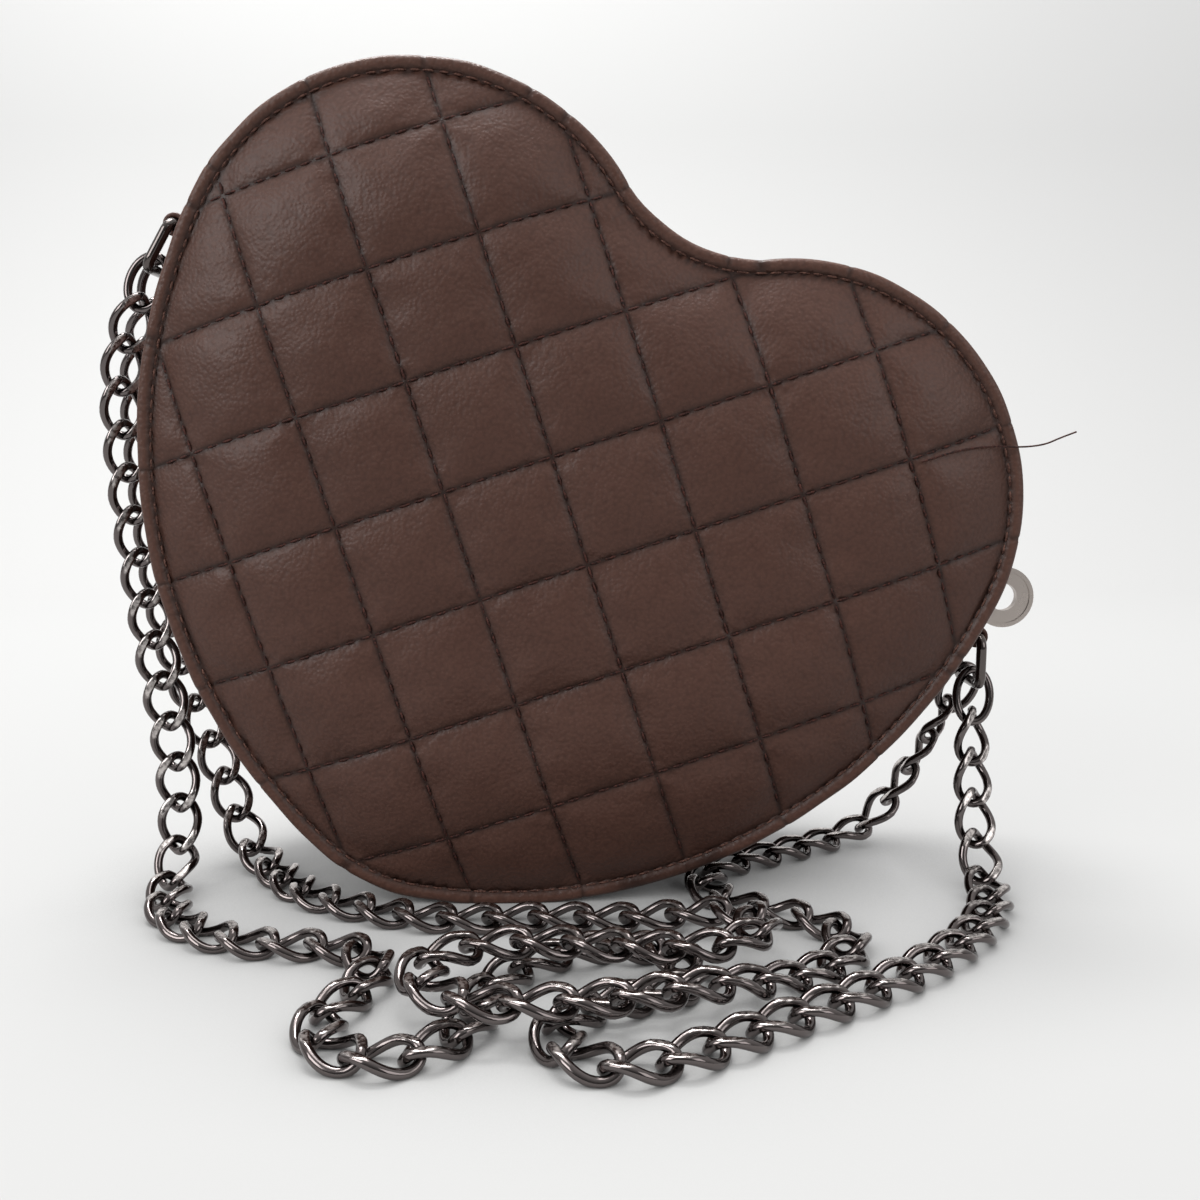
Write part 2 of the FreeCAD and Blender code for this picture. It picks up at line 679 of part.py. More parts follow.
front_rise = V(0, -1, 0)
rear_land = V(0.55, -0.83, 0)
rear_rise = V(-0.93, -0.36, 0)


def route_rows(start, left_drop, land, floor, rise, right_drop, end):
    """Places and flat normals of one chain, from the left ring to the right ring."""
    rows = [(start, hang)]
    count = len(left_drop)
    for k, place in enumerate(left_drop):
        share = (k + 1) / count
        rows.append((V(*place), hang * (1 - share) + land * share))
    rows += [(V(*place), up) for place in floor]
    count = len(right_drop)
    last = hang if hang.dot(rise) > 0 else -hang
    for k, place in enumerate(right_drop):
        share = k / count
        rows.append((V(*place), rise * (1 - share) + last * share))
    return rows + [(end, last)]


def lying(places):
    return [(x, y, lie) for x, y in places]


def smooth(rows):
    """A quadratic B-spline on the rows, even in place and normal: it meets each inner run at its middle."""
    line = []
    last = len(rows) - 3
    for k, (a, b, c) in enumerate(zip(rows, rows[1:], rows[2:])):
        start = a if k == 0 else [(a[i] + b[i]) / 2 for i in (0, 1)]
        end = c if k == last else [(b[i] + c[i]) / 2 for i in (0, 1)]
        for step in range(smooth_steps):
            t = step / smooth_steps
            w = ((1 - t) ** 2, 2 * t * (1 - t), t**2)
            line.append([start[i] * w[0] + b[i] * w[1] + end[i] * w[2] for i in (0, 1)])
    return line + [list(rows[-1])]


def step_along(line, step):
    """Joints a straight step apart along the curve, and what is left over at its end."""
    joints, here = [line[0]], line[0][0]
    for (p, n), (q, m) in zip(line, line[1:]):
        while (q - here).Length >= step:
            low, high = 0, 1
            for _ in range(40):
                mid = (low + high) / 2
                if (p + (q - p) * mid - here).Length < step:
                    low = mid
                else:
                    high = mid
            here = p + (q - p) * high
            joints.append((here, n + (m - n) * high))
    return joints, (line[-1][0] - here).Length


def joints_of(rows):
    """Joints of a chain that ends just on its second ring, with links a little slack if need be."""
    line = smooth(rows)
    wanted = len(step_along(line, link_pitch)[0]) + 1
    low, high = link_pitch - link_play, link_pitch
    for _ in range(40):
        step = (low + high) / 2
        joints = step_along(line, step)[0]
        if len(joints) >= wanted:
            low = step
        else:
            high = step
    return step_along(line, low)[0], low


def link_placement(joint, following, normal):
    x = following - joint
    x.normalize()
    z = normal - x * normal.dot(x)
    z.normalize()
    y = z.cross(x)
    turn = FreeCAD.Rotation(x, y, z, "XZY")
    return FreeCAD.Placement((joint + following) / 2, turn)


def least_gap(lines):
    """The least space between the wires of any two links, measured on points of their middle lines."""
    best = link_length
    reach = link_length + link_wire
    for i, (centre, line) in enumerate(lines):
        for other_centre, other in lines[i + 1:]:
            if (centre - other_centre).Length < reach:
                near = min((p - q).Length for p in line for q in other)
                best = min(best, near - link_wire)
    return best


rear_lying = lying(rear_floor) + [(x, y, lie + share * link_layer) for x, y, share in rear_over]
rear_lying += lying(rear_under)
left_ring_y = {"front": -chain_spread, "rear": chain_spread}
routes = {
    "front": (front_left_drop, front_land, lying(front_floor), front_rise, front_right_drop),
    "rear": (rear_left_drop, rear_land, rear_lying, rear_rise, rear_right_drop),
}
ring_hold = link_overhang + ring_play / 2
all_lines = []
for strand, route in routes.items():
    ends = []
    for side, first in (("left", route[0][0]), ("right", route[-1][-1])):
        bar = ring_bar[side] + V(0, left_ring_y[strand], 0)
        away = V(*first) - bar
        ends.append(bar - away / away.Length * ring_hold)
    rows = route_rows(ends[0], *route, ends[1])
    joints, step = joints_of(rows)
    groups = {"left_drop": [], "floor": [], "right_drop": []}
    count = len(joints) - 1
    for k in range(count):
        (p, n), (q, m) = joints[k], joints[k + 1]
        at_ring = k in (0, count - 1)
        normal = V(0, 1, 0) if at_ring else n + m
        place = link_placement(p, q, normal)
        link = (plain_link if at_ring else curb_link).copy()
        link.Placement = place
        middle = (p + q) / 2
        low = middle.z < lie + link_layer + link_wire / 2
        part = "floor" if low else ("left_drop" if middle.x < 0 else "right_drop")
        groups[part].append(link)
        all_lines.append((middle, [place.multVec(p) for p in (plain_line if at_ring else curb_line)]))
    for part, links in groups.items():
        nodes[strand + "_chain_" + part] = Part.makeCompound(links)
    print(strand, "chain:", count, "links, step", round(step, 2), "length", round(count * step))
print("least gap between links", round(least_gap(all_lines), 2))

# The origin is on the floor under the middle of the bag's box, without its chains
box_of_bag = Part.makeCompound([s for n, s in nodes.items() if "_chain_" not in n]).optimalBoundingBox()
shift = V(-box_of_bag.Center.x, -box_of_bag.Center.y, 0)
print("shift", shift, "bag", box_of_bag)
for name, shape in nodes.items():
    shape.translate(shift)
    shape.exportStep("parts/" + name + ".step")


def told(name, place):
    print(name, [round(c, 4) for c in (place + shift)])


told("lobe centre", stand.multVec(V(lobe_centre_x, 0, 0)))
told("pull pivot", stand.multVec(pull_pivot))
told("disc pivot", stand.multVec(on_pull(Part.Vertex(V(0, 0, -pull_link_length))).Point))
told("left ring pivot", ring_pivot["left"])
told("right ring pivot", ring_pivot["right"])
flat_y = (front_y + binding_back_y) / 2
flat_drop = side_radius - standing_flat_depth
told("standing flat", stand.multVec(V(side_centre_x, 0, 0)) + V(0, flat_y, -flat_drop))
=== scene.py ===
# %% [markdown]
# # A heart-shaped quilted purse
# The bag stands on its lower left flank with its chain strap laid in front. Its rigid parts, sizes and
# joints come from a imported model, and this lesson dresses them: quilted leather, stitches, zip and chain.
# Every new piece is a surface worked out with numpy, in millimetres, and put into a mesh in metres.

# %% The frame, and helpers that turn numpy grids into meshes
import json
import math

import bpy
import numpy as np
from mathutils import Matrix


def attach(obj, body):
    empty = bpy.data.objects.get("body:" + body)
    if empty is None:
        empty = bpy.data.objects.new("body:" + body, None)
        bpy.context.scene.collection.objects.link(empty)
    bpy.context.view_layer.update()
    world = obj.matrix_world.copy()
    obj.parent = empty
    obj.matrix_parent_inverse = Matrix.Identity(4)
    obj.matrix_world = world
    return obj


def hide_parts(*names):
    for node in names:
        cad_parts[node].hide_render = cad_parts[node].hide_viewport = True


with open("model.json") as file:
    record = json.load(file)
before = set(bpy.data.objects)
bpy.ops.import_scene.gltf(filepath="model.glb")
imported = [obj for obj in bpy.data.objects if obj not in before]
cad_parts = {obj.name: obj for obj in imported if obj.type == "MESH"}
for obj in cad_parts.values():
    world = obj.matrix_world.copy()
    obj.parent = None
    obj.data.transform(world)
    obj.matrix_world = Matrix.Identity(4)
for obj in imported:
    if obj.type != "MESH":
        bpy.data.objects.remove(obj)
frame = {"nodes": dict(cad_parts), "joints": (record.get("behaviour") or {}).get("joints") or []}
scene = bpy.context.scene
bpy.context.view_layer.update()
joints = {joint["name"]: joint for joint in frame["joints"]}
MM = 0.001
TAU = 2 * math.pi
FACES = (("front", -1), ("back", 1))  # each face and the way it looks along Y


def grid_faces(rows, columns, wrap_rows=False, wrap_columns=False):
    """Quads between neighbours on a grid of rows by columns. A wrapped direction closes on its start."""
    r, c = np.meshgrid(
        np.arange(rows if wrap_rows else rows - 1),
        np.arange(columns if wrap_columns else columns - 1),
        indexing="ij",
    )
    r2, c2 = (r + 1) % rows, (c + 1) % columns
    corners = [r * columns + c, r2 * columns + c, r2 * columns + c2, r * columns + c2]
    return np.stack(corners, -1).reshape(-1, 4)


def facing_out(points, faces):
    """Faces of a closed shape, turned over if their signed volume, a sum of tetrahedra, is negative."""
    a, b, c, d = (points[faces[:, k]] for k in range(4))
    volume = np.sum(a * np.cross(b, c)) + np.sum(a * np.cross(c, d))
    return faces if volume > 0 else faces[:, ::-1]


def in_scene(name, data):
    """A new object at the origin, put into the scene."""
    made = bpy.data.objects.new(name, data)
    scene.collection.objects.link(made)
    return made


def smooth_mesh(name, points, faces, caps=()):
    """An object with a smooth mesh, from points in millimetres."""
    mesh = bpy.data.meshes.new(name)
    mesh.from_pydata((points.reshape(-1, 3) * MM).tolist(), [], faces.tolist() + [list(c) for c in caps])
    mesh.polygons.foreach_set("use_smooth", np.ones(len(mesh.polygons), bool))
    print(name, len(mesh.vertices), "vertices", len(mesh.polygons), "faces")
    return in_scene(name, mesh)


def piece(name, points, faces, material, caps=()):
    """A smooth mesh of one material that rides on the bag."""
    made = smooth_mesh(name, points, faces, caps)
    made.data.materials.append(material)
    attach(made, "bag")
    return made


def unit_rows(rows):
    """Each row made one long."""
    return rows / np.linalg.norm(rows, axis=1, keepdims=True)


def sampled(at, count, rows):
    """Rows read at places between the counted ones, along straight lines."""
    return np.stack([np.interp(at, count, column) for column in rows.T], -1)


def tube(line, side, level, radius, sides):
    """Rings round a line: radius times (cos a * side + sin a * level), at even angles a."""
    a = np.arange(sides)[None, :, None] * TAU / sides
    return line[:, None] + radius * (np.cos(a) * side[:, None] + np.sin(a) * level[:, None])


def mark(made, name, values):
    """A number for each vertex, which a material can read by name."""
    layer = made.data.attributes.new(name, "FLOAT", "POINT")
    layer.data.foreach_set("value", np.asarray(values, np.float32).ravel())


# %% [markdown]
# ## The heart
# The outline is six arcs that meet without a corner: a notch, two lobes, two long sides and a tip. A point's
# inset is its distance inwards from that edge. The heart is drawn upright in its own plane (u to the right,
# v up) and then leaned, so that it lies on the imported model. The right lobe's centre is the zip's hinge.

# %% Outline, inset and lean
LOBE_RADIUS = 52.5
LOBE_U = 44.5
SIDE_RADIUS = 121.0
TIP_RADIUS = 40.0
NOTCH_V = 40.0
LEAN = math.radians(27)
EDGE_STEP = 0.5

NOTCH_RADIUS = (NOTCH_V**2 + LOBE_U**2 - LOBE_RADIUS**2) / (2 * (LOBE_RADIUS - NOTCH_V))
NOTCH_CENTRE = NOTCH_V + NOTCH_RADIUS
LOBE_END = math.atan2(NOTCH_CENTRE, -LOBE_U)
SIDE_U = LOBE_U - (SIDE_RADIUS - LOBE_RADIUS)
TIP_V = -math.sqrt((SIDE_RADIUS - TIP_RADIUS) ** 2 - SIDE_U**2)
SIDE_END = math.atan2(TIP_V, -SIDE_U)
# Centre u, centre v, radius, first and last angle, and +1 where the edge bulges outwards
ARCS = [
    (0, NOTCH_CENTRE, NOTCH_RADIUS, -LOBE_END, LOBE_END - math.pi, -1),
    (LOBE_U, 0, LOBE_RADIUS, LOBE_END, 0, 1),
    (SIDE_U, 0, SIDE_RADIUS, 0, SIDE_END, 1),
    (0, TIP_V, TIP_RADIUS, SIDE_END, -math.pi - SIDE_END, 1),
    (-SIDE_U, 0, SIDE_RADIUS, -math.pi - SIDE_END, -math.pi, 1),
    (-LOBE_U, 0, LOBE_RADIUS, math.pi, math.pi - LOBE_END, 1),
]
lobe_x, _, lobe_z = (c / MM for c in joints["zip_travel"]["pos_m"])
ORIGIN_X = lobe_x - LOBE_U * math.cos(LEAN)
ORIGIN_Z = lobe_z + LOBE_U * math.sin(LEAN)


def stand(u, v, y):
    """Points of the heart's plane at depth y, turned by the lean about Y and lifted onto the floor."""
    u, v, y = np.broadcast_arrays(u, v, y)
    x = ORIGIN_X + u * math.cos(LEAN) + v * math.sin(LEAN)
    z = ORIGIN_Z - u * math.sin(LEAN) + v * math.cos(LEAN)
    return np.stack([x, y, z], -1)


def inset_of(u, v):
    """Distance inwards from the edge: the least over the arcs whose sector holds the point."""
    best = np.full(np.shape(u), np.inf)
    for cu, cv, radius, first, last, sense in ARCS:
        turn = np.arctan2(v - cv, u - cu) - (first + last) / 2
        turn = (turn + math.pi) % TAU - math.pi
        gap = sense * (radius - np.hypot(u - cu, v - cv))
        held = np.abs(turn) <= abs(last - first) / 2 + 1e-6
        best = np.minimum(best, np.where(held, gap, np.inf))
    return best


def walk_edge(spacing):
    """Edge points an even spacing apart, clockwise from the notch: columns u, v, inward normal u, v."""
    runs = []
    for cu, cv, radius, first, last, sense in ARCS:
        count = round(radius * abs(last - first) / spacing)
        a = np.linspace(first, last, count, endpoint=False)
        c, s = np.cos(a), np.sin(a)
        runs.append(np.stack([cu + radius * c, cv + radius * s, -sense * c, -sense * s], -1))
    return np.concatenate(runs)


def carried(line, inset, y):
    """A profile, given by inset and depth, carried along a stretch of the edge."""
    u, v, nu, nv = (line[:, k, None] for k in range(4))
    return stand(u + nu * inset, v + nv * inset, y)


def beside(line, inset, y):
    """One point for each row of a stretch of the edge, at one inset and depth."""
    return carried(line, np.array([inset]), y)[:, 0]


edge = walk_edge(EDGE_STEP)
edge_length = np.sum(np.hypot(*np.diff(edge[:, :2], axis=0, append=edge[:1, :2]).T))
print("heart edge", round(edge_length), "mm round,", len(edge), "points")

# %% [markdown]
# ## Camera
# The photo was taken from close by, a little right of straight on and a little above. A wide lens that near
# makes the front panel loom over the strap, so the distance matters as much as the direction.

# %% Camera at the photographed place
CAMERA_AT = (-10.05, -287.5, 102.6)
CAMERA_YAW = math.radians(1.77)
CAMERA_PITCH = math.radians(7.39)
SENSOR_WIDE = LENS = 36

camera = in_scene("camera", bpy.data.cameras.new("camera"))
camera.data.sensor_width = SENSOR_WIDE
camera.data.lens = LENS
camera.data.clip_start = 0.01
camera.location = [c * MM for c in CAMERA_AT]
camera.rotation_euler = (math.pi / 2 - CAMERA_PITCH, 0, -CAMERA_YAW)
scene.camera = camera
print("camera", round(camera.data.lens), "mm lens")

# %% [markdown]
# ## Materials
# Colours are written as the eye sees them, in sRGB hex, and turned to linear light once. Small functions
# add a node, set it and link it, and pattern sizes are given in millimetres of the real surface.


# %% Node helpers
def ink(code):
    """A linear colour with alpha from sRGB hex: c/12.92 below 0.04045, else ((c + 0.055)/1.055)^2.4."""
    parts = [int(code[k : k + 2], 16) / 255 for k in (1, 3, 5)]
    return [c / 12.92 if c <= 0.04045 else ((c + 0.055) / 1.055) ** 2.4 for c in parts] + [1]


def per_mm(size):
    """The texture scale, per metre, at which one cell of a pattern is size millimetres wide."""
    return 1 / (size * MM)


def plug(tree, node, values):
    """Link each value that is a socket into the node's input of that name, and set any other value."""
    for socket, value in values.items():
        if isinstance(value, bpy.types.NodeSocket):
            tree.links.new(value, node.inputs[socket])
        else:
            node.inputs[socket].default_value = value


def add(tree, kind, values, **settings):
    """The outputs of a new node, which gets its settings and has its inputs plugged."""
    made = tree.nodes.new(kind)
    for name, value in settings.items():
        setattr(made, name, value)
    plug(tree, made, values)
    return made.outputs


def maths(tree, operation, *values):
    """One step of arithmetic on sockets or numbers."""
    return add(tree, "ShaderNodeMath", dict(enumerate(values)), operation=operation)[0]


def noise(tree, place, size, detail, **values):
    """Cloudy noise, from 0 to 1, with spots of about size millimetres."""
    values |= {"Vector": place, "Scale": per_mm(size), "Detail": detail}
    return add(tree, "ShaderNodeTexNoise", values)[0]


def bump(tree, height, strength, depth, under=None, **settings):
    """A surface direction tilted by a height, depth millimetres at most, on top of another bump."""
    values = {"Height": height, "Strength": strength, "Distance": depth * MM}
    values |= {} if under is None else {"Normal": under}
    return add(tree, "ShaderNodeBump", values, **settings)[0]


def new_material(name):
    """An empty material with its output node, its shader and the object's own coordinates."""
    made = bpy.data.materials.new(name)
    made.use_nodes = True
    tree = made.node_tree
    tree.nodes.clear()
    shader = tree.nodes.new("ShaderNodeBsdfPrincipled")
    add(tree, "ShaderNodeOutputMaterial", {"Surface": shader.outputs[0]})
    place = add(tree, "ShaderNodeTexCoord", {})["Object"]
    return made, tree, shader, place


def ramp(tree, factor, low, high, from_low=0.0, from_high=1.0):
    """A number that goes from low to high as factor goes from from_low to from_high."""
    values = {"Value": factor, "From Min": from_low, "From Max": from_high, "To Min": low, "To Max": high}
    return add(tree, "ShaderNodeMapRange", values)[0]


def between(tree, factor, first, second):
    """A colour mixed from first to second."""
    return add(tree, "ShaderNodeMix", {0: factor, 6: first, 7: second}, data_type="RGBA")[2]


# %% [markdown]
# Coated leather: a thin polyurethane skin on cloth, embossed with a fine pebble grain whose valleys are
# darker. It shows a soft broad shine and tiny creases on its swellings, and painted shade along each sewn
# line.


# %% Coated leather
def coated_leather(name, tone, painted_seam_shade, shine, grain=0.75, crease=2.4):
    """Leather of one tone with darker grain valleys, and painted shade where a vertex number marks it."""
    made, tree, shader, place = new_material(name)
    cells = {"Vector": place, "Scale": per_mm(grain)}
    pebble = add(tree, "ShaderNodeTexVoronoi", cells, feature="SMOOTH_F1")[0]
    skin = noise(tree, place, crease, 6.0, Roughness=0.62, Distortion=0.4)
    cloud = noise(tree, place, 38, 3.0)
    seam_shaded = add(tree, "ShaderNodeAttribute", {}, attribute_name="painted_seam_shade")["Fac"]
    tint = between(tree, ramp(tree, cloud, 0, 1, 0.3, 0.7), ink(tone[0]), ink(tone[1]))
    tint = between(tree, ramp(tree, skin, 0, 0.35, 0.45, 0.75), tint, ink(tone[2]))
    tint = between(tree, ramp(tree, pebble, 0, 0.3, 0.3, 0.8), tint, ink(painted_seam_shade))
    tint = between(tree, seam_shaded, tint, ink(painted_seam_shade))
    rough = ramp(tree, skin, shine - 0.06, shine + 0.1, 0.3, 0.7)
    bumped = bump(tree, skin, 0.35, 0.16, bump(tree, pebble, 0.9, 0.14, invert=True))
    plug(tree, shader, {"Base Color": tint, "Roughness": rough, "Normal": bumped, "Specular IOR Level": 0.24,
                        "Coat Weight": 0.14, "Coat Roughness": 0.36, "Coat Normal": bumped})
    return made


# The third colour of each leather darkens its grain's valleys and is the colour of its painted seam shade.
panel_leather = coated_leather("coated_leather_panel", ("#583c33", "#53372e", "#5f4338"), "#26150f", 0.51)
# A lighter copy of the panel leather for the roll: its extra lightness is painted light, for the light that
# the roll catches.
edge_leather_painted_lighter = coated_leather("coated_leather_edge_painted_lighter", ("#5d4036", "#563a31", "#66493e"), "#24140f", 0.46)

# %% [markdown]
# ## Quilted panels
# Leather over foam is sewn through along two sets of crossing lines, so each square swells between its four
# seams. The swell falls away towards a line as 1 - exp(-distance/softness), which is sharp at the thread
# and level in the middle. A product of three such falls (two line sets and the edge seam) gives every square
# its pillow, and the heart's own crown carries them all.

# %% Quilting lines and the panel's height
CELL = 24.0
CROSS_U = -90.34
CROSS_V = 3.41
EDGE_SEAM = 3.4
SKIN_Y = 26.95
CROWN = 8.0
CROWN_RUN = 35.0
CROWN_POWER = 2.3
PILLOW = 2.3
PILLOW_SOFT = 3.4
PILLOW_SUNK = 0.9
BORDER_SOFT = 2.2
PULL_DEPTH, PULL_REACH = 0.12, 1.1
PUCKER, PUCKER_REACH, PUCKER_SIZE = 0.1, 3.5, 4.5
UNEVEN_FILL, UNEVEN_FILL_SIZE = 0.1, 33
UNEVEN, UNEVEN_SIZE = 0.16, 15
# Width and fade of the painted shade along the sewn lines.
SEAM_SHADE_HALF, SEAM_SHADE_FADE = 0.25, 0.4
STITCHES_PER_CELL = 7
rng = np.random.default_rng(5)


def quilt_index(u, v):
    """Place counted in quilting lines: whole numbers lie on a line of the first and second set."""
    diagonal = CELL * math.sqrt(2)
    return ((u - CROSS_U) + (v - CROSS_V)) / diagonal, ((u - CROSS_U) - (v - CROSS_V)) / diagonal


def quilt_place(i, j):
    """The heart-plane place of a pair of line counts, the inverse of quilt_index."""
    side = CELL / math.sqrt(2)
    return CROSS_U + (i + j) * side, CROSS_V + (i - j) * side


def off_line(count):
    """Distance in millimetres to the nearest line of one set."""
    return np.abs(count - np.round(count)) * CELL


def swell(distance, soft=PILLOW_SOFT):
    """How far leather has risen at a distance from a seam, from 0 to 1."""
    return 1 - np.exp(-np.maximum(distance, 0) / soft)


waves = [(rng.uniform(0, TAU), rng.uniform(0.6, 1.7), rng.uniform(0, TAU)) for _ in range(9)]


def ripple(u, v, size):
    """Soft unevenness from -1 to 1: a mean of sine waves in fixed random directions."""
    total = sum(np.sin(TAU / size * k * (u * math.cos(a) + v * math.sin(a)) + p) for a, k, p in waves)
    return total / math.sqrt(len(waves))


def panel_height(u, v, fill=1.0):
    """How far the leather stands out from the seam's plane: crown plus pillows, less the sewn hollows."""
    inset = inset_of(u, v)
    i, j = quilt_index(u, v)
    di, dj = off_line(i), off_line(j)
    share = np.clip((inset - EDGE_SEAM) / CROWN_RUN, 0, 1)
    crown = CROWN * (1 - (1 - share) ** CROWN_POWER)
    border = swell(inset - EDGE_SEAM, BORDER_SOFT)
    pillow = swell(di) * swell(dj) * border
    pull = np.cos(TAU * STITCHES_PER_CELL * j) * np.exp(-di / PULL_REACH)
    pull = pull + np.cos(TAU * STITCHES_PER_CELL * i) * np.exp(-dj / PULL_REACH)
    pucker = ripple(u, v, PUCKER_SIZE) * (np.exp(-di / PUCKER_REACH) + np.exp(-dj / PUCKER_REACH)) * PUCKER
    plump = 1 + UNEVEN_FILL * ripple(u, v, UNEVEN_FILL_SIZE)
    level = crown + fill * PILLOW * pillow * plump - PILLOW_SUNK * border
    return level + (PULL_DEPTH * pull + pucker + UNEVEN * ripple(u, v, UNEVEN_SIZE)) * border


def seam_shade_at(u, v):
    """Strength of the painted shade along the sewn lines: 1 on a line, falling to 0 a few millimetres away.
    """
    i, j = quilt_index(u, v)
    near = np.minimum(np.minimum(off_line(i), off_line(j)), np.abs(inset_of(u, v) - EDGE_SEAM))
    return np.exp(-np.maximum(near - SEAM_SHADE_HALF, 0) / SEAM_SHADE_FADE)


# %% [markdown]
# The panel's points stand on a lattice that follows the quilting lines. They are bunched towards the lines,
# where the leather bends most, and only the faces inside the edge are kept.

# %% Panel mesh
STEPS = 26
BUNCH = 0.62
TUCKED = 1.7


def trimmed(u, v, turn=1):
    """What lies inside the tucked edge of a lattice: its points' numbers, u and v, and its quads."""
    quads = grid_faces(*u.shape)[:, ::turn]
    quads = quads[(inset_of(u, v) > TUCKED).ravel()[quads].all(1)]
    held, quads = np.unique(quads, return_inverse=True)
    return held, u.ravel()[held], v.ravel()[held], quads.reshape(-1, 4)


share = np.arange(STEPS) / STEPS
within = share - BUNCH / TAU * np.sin(TAU * share)
counts = quilt_index(edge[:, 0], edge[:, 1])
lines_i, lines_j = (np.arange(math.floor(c.min()), math.ceil(c.max())) for c in counts)
lattice_i, lattice_j = ((lines[:, None] + within).ravel() for lines in (lines_i, lines_j))
grid_i, grid_j = np.meshgrid(lattice_i, lattice_j, indexing="ij")
used, panel_u, panel_v, panel_faces = trimmed(*quilt_place(grid_i, grid_j))
panel_rise = panel_height(panel_u, panel_v)
print("panel lattice", len(used), "points, rises", round(float(panel_rise.max()), 1), "mm")

# %% [markdown]
# The formula alone makes every pillow alike. A cloth simulation of a coarser, half-filled panel, sewn down
# along the same lines and blown up from inside, gives each square its own swell. It runs at a larger scale,
# where the solver's usual stiffness suits the size of the cells. Its change is capped, carried over to the
# fine lattice with a cubic B-spline, and fades out at the seams.

# %% Cloth simulation
SIM_STEPS = 12
SIM_SCALE = 20.0
SIM_FRAMES = 20
SIM_FILL = 0.55
SIM_CAP = 0.9
SIM_FADE = 1.2
SEWN_NEAR = 0.1
SEWN_EDGE = 4.0


def carry(fine, coarse):
    """Weights of a cubic B-spline that carries values from the even coarse places to the fine ones."""
    x = np.abs(fine[:, None] - coarse) * SIM_STEPS
    return np.where(x < 1, 2 / 3 - x**2 + x**3 / 2, np.clip(2 - x, 0, None) ** 3 / 6)


def blown_up(points, faces, sewn):
    """Points of a sheet after the pressure has pushed it out between its sewn points."""
    sheet = smooth_mesh("blown_sheet", points * SIM_SCALE, faces)
    mesh = sheet.data
    sheet.vertex_groups.new(name="sewn").add(np.flatnonzero(sewn).tolist(), 1.0, "REPLACE")
    cloth = sheet.modifiers.new("cloth", "CLOTH")
    cloth.collision_settings.use_collision = False
    cloth.point_cache.frame_end = SIM_FRAMES
    settings = cloth.settings
    settings.vertex_group_mass = "sewn"
    settings.mass = 0.02
    settings.bending_stiffness = 4.0
    settings.use_pressure = True
    settings.uniform_pressure_force = 2.0
    settings.shrink_min = -0.006
    settings.effector_weights.gravity = 0
    for frame_number in range(1, SIM_FRAMES + 1):
        scene.frame_set(frame_number)
    shaped = sheet.evaluated_get(bpy.context.evaluated_depsgraph_get())
    moved = np.empty(len(points) * 3, np.float32)
    shaped.data.vertices.foreach_get("co", moved)
    bpy.data.objects.remove(sheet)
    bpy.data.meshes.remove(mesh)
    scene.frame_set(1)
    return moved.reshape(-1, 3) / (SIM_SCALE * MM)


sim_i, sim_j = (np.arange(len(n) * SIM_STEPS) / SIM_STEPS + n[0] for n in (lines_i, lines_j))
cell_i, cell_j = np.meshgrid(sim_i, sim_j, indexing="ij")
kept, sim_u, sim_v, sim_faces = trimmed(*quilt_place(cell_i, cell_j), turn=-1)
sewn = np.minimum(off_line(cell_i), off_line(cell_j)).ravel()[kept] < SEWN_NEAR
sewn |= inset_of(sim_u, sim_v) < SEWN_EDGE
flat_start = np.column_stack([sim_u, sim_v, panel_height(sim_u, sim_v, SIM_FILL)])
blown = blown_up(flat_start, sim_faces, sewn)
change = np.zeros(cell_i.shape)
change.ravel()[kept] = np.clip(blown[:, 2] - panel_height(sim_u, sim_v), -SIM_CAP, SIM_CAP)
change = (carry(lattice_i, sim_i) @ change @ carry(lattice_j, sim_j).T).ravel()[used]
off_i, off_j = (swell(off_line(count), SIM_FADE) for count in quilt_index(panel_u, panel_v))
off_edge = swell(inset_of(panel_u, panel_v) - EDGE_SEAM, SIM_FADE)
panel_rise = panel_rise + change * off_i * off_j * off_edge
print("simulated", len(kept), "points, change", change.min().round(2), "to", change.max().round(2), "mm")

# %% [markdown]
# The same sheet makes both panels. Each gets the leather's thickness inwards and a number on every vertex
# that says how near it is to a sewn line, which the leather's colour reads to paint shade there.

# %% Panels
LEATHER_THICK = 1.1
for face, side in FACES:
    points = stand(panel_u, panel_v, side * (SKIN_Y + panel_rise))
    a, b, c = points[panel_faces[0, :3]]
    normal = np.cross(b - a, c - a)
    faces = panel_faces if normal[1] * side > 0 else panel_faces[:, ::-1]
    made = piece(face + "_quilted_panel", points, faces, panel_leather)
    # Painted shade along the sewn lines, where the leather dips.
    mark(made, "painted_seam_shade", seam_shade_at(panel_u, panel_v))
    wall = made.modifiers.new("leather", "SOLIDIFY")
    wall.thickness = LEATHER_THICK * MM
    wall.offset = -1
    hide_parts(face + "_panel_leather", face + "_panel_foam")

# %% [markdown]
# ## Sewing thread
# Bonded polyester thread, darker than the leather. Every stitch is one small bean of thread that dips into
# the leather at both ends. The bean is a spindle of four rings with a pole at each end, copied to each place.

# %% Thread and stitches
QUILT_STITCH_WIDE = 0.58
QUILT_STITCH_SUNK = 0.14
QUILT_STITCH_HALF_SHARE = 0.41
QUILT_STITCH_STRAY = 0.003
EDGE_STITCH_WIDE = 0.55
STITCH_HIGH = 0.5
STITCH_ARCH_SHARE = 0.35
END_CLEAR = 0.6


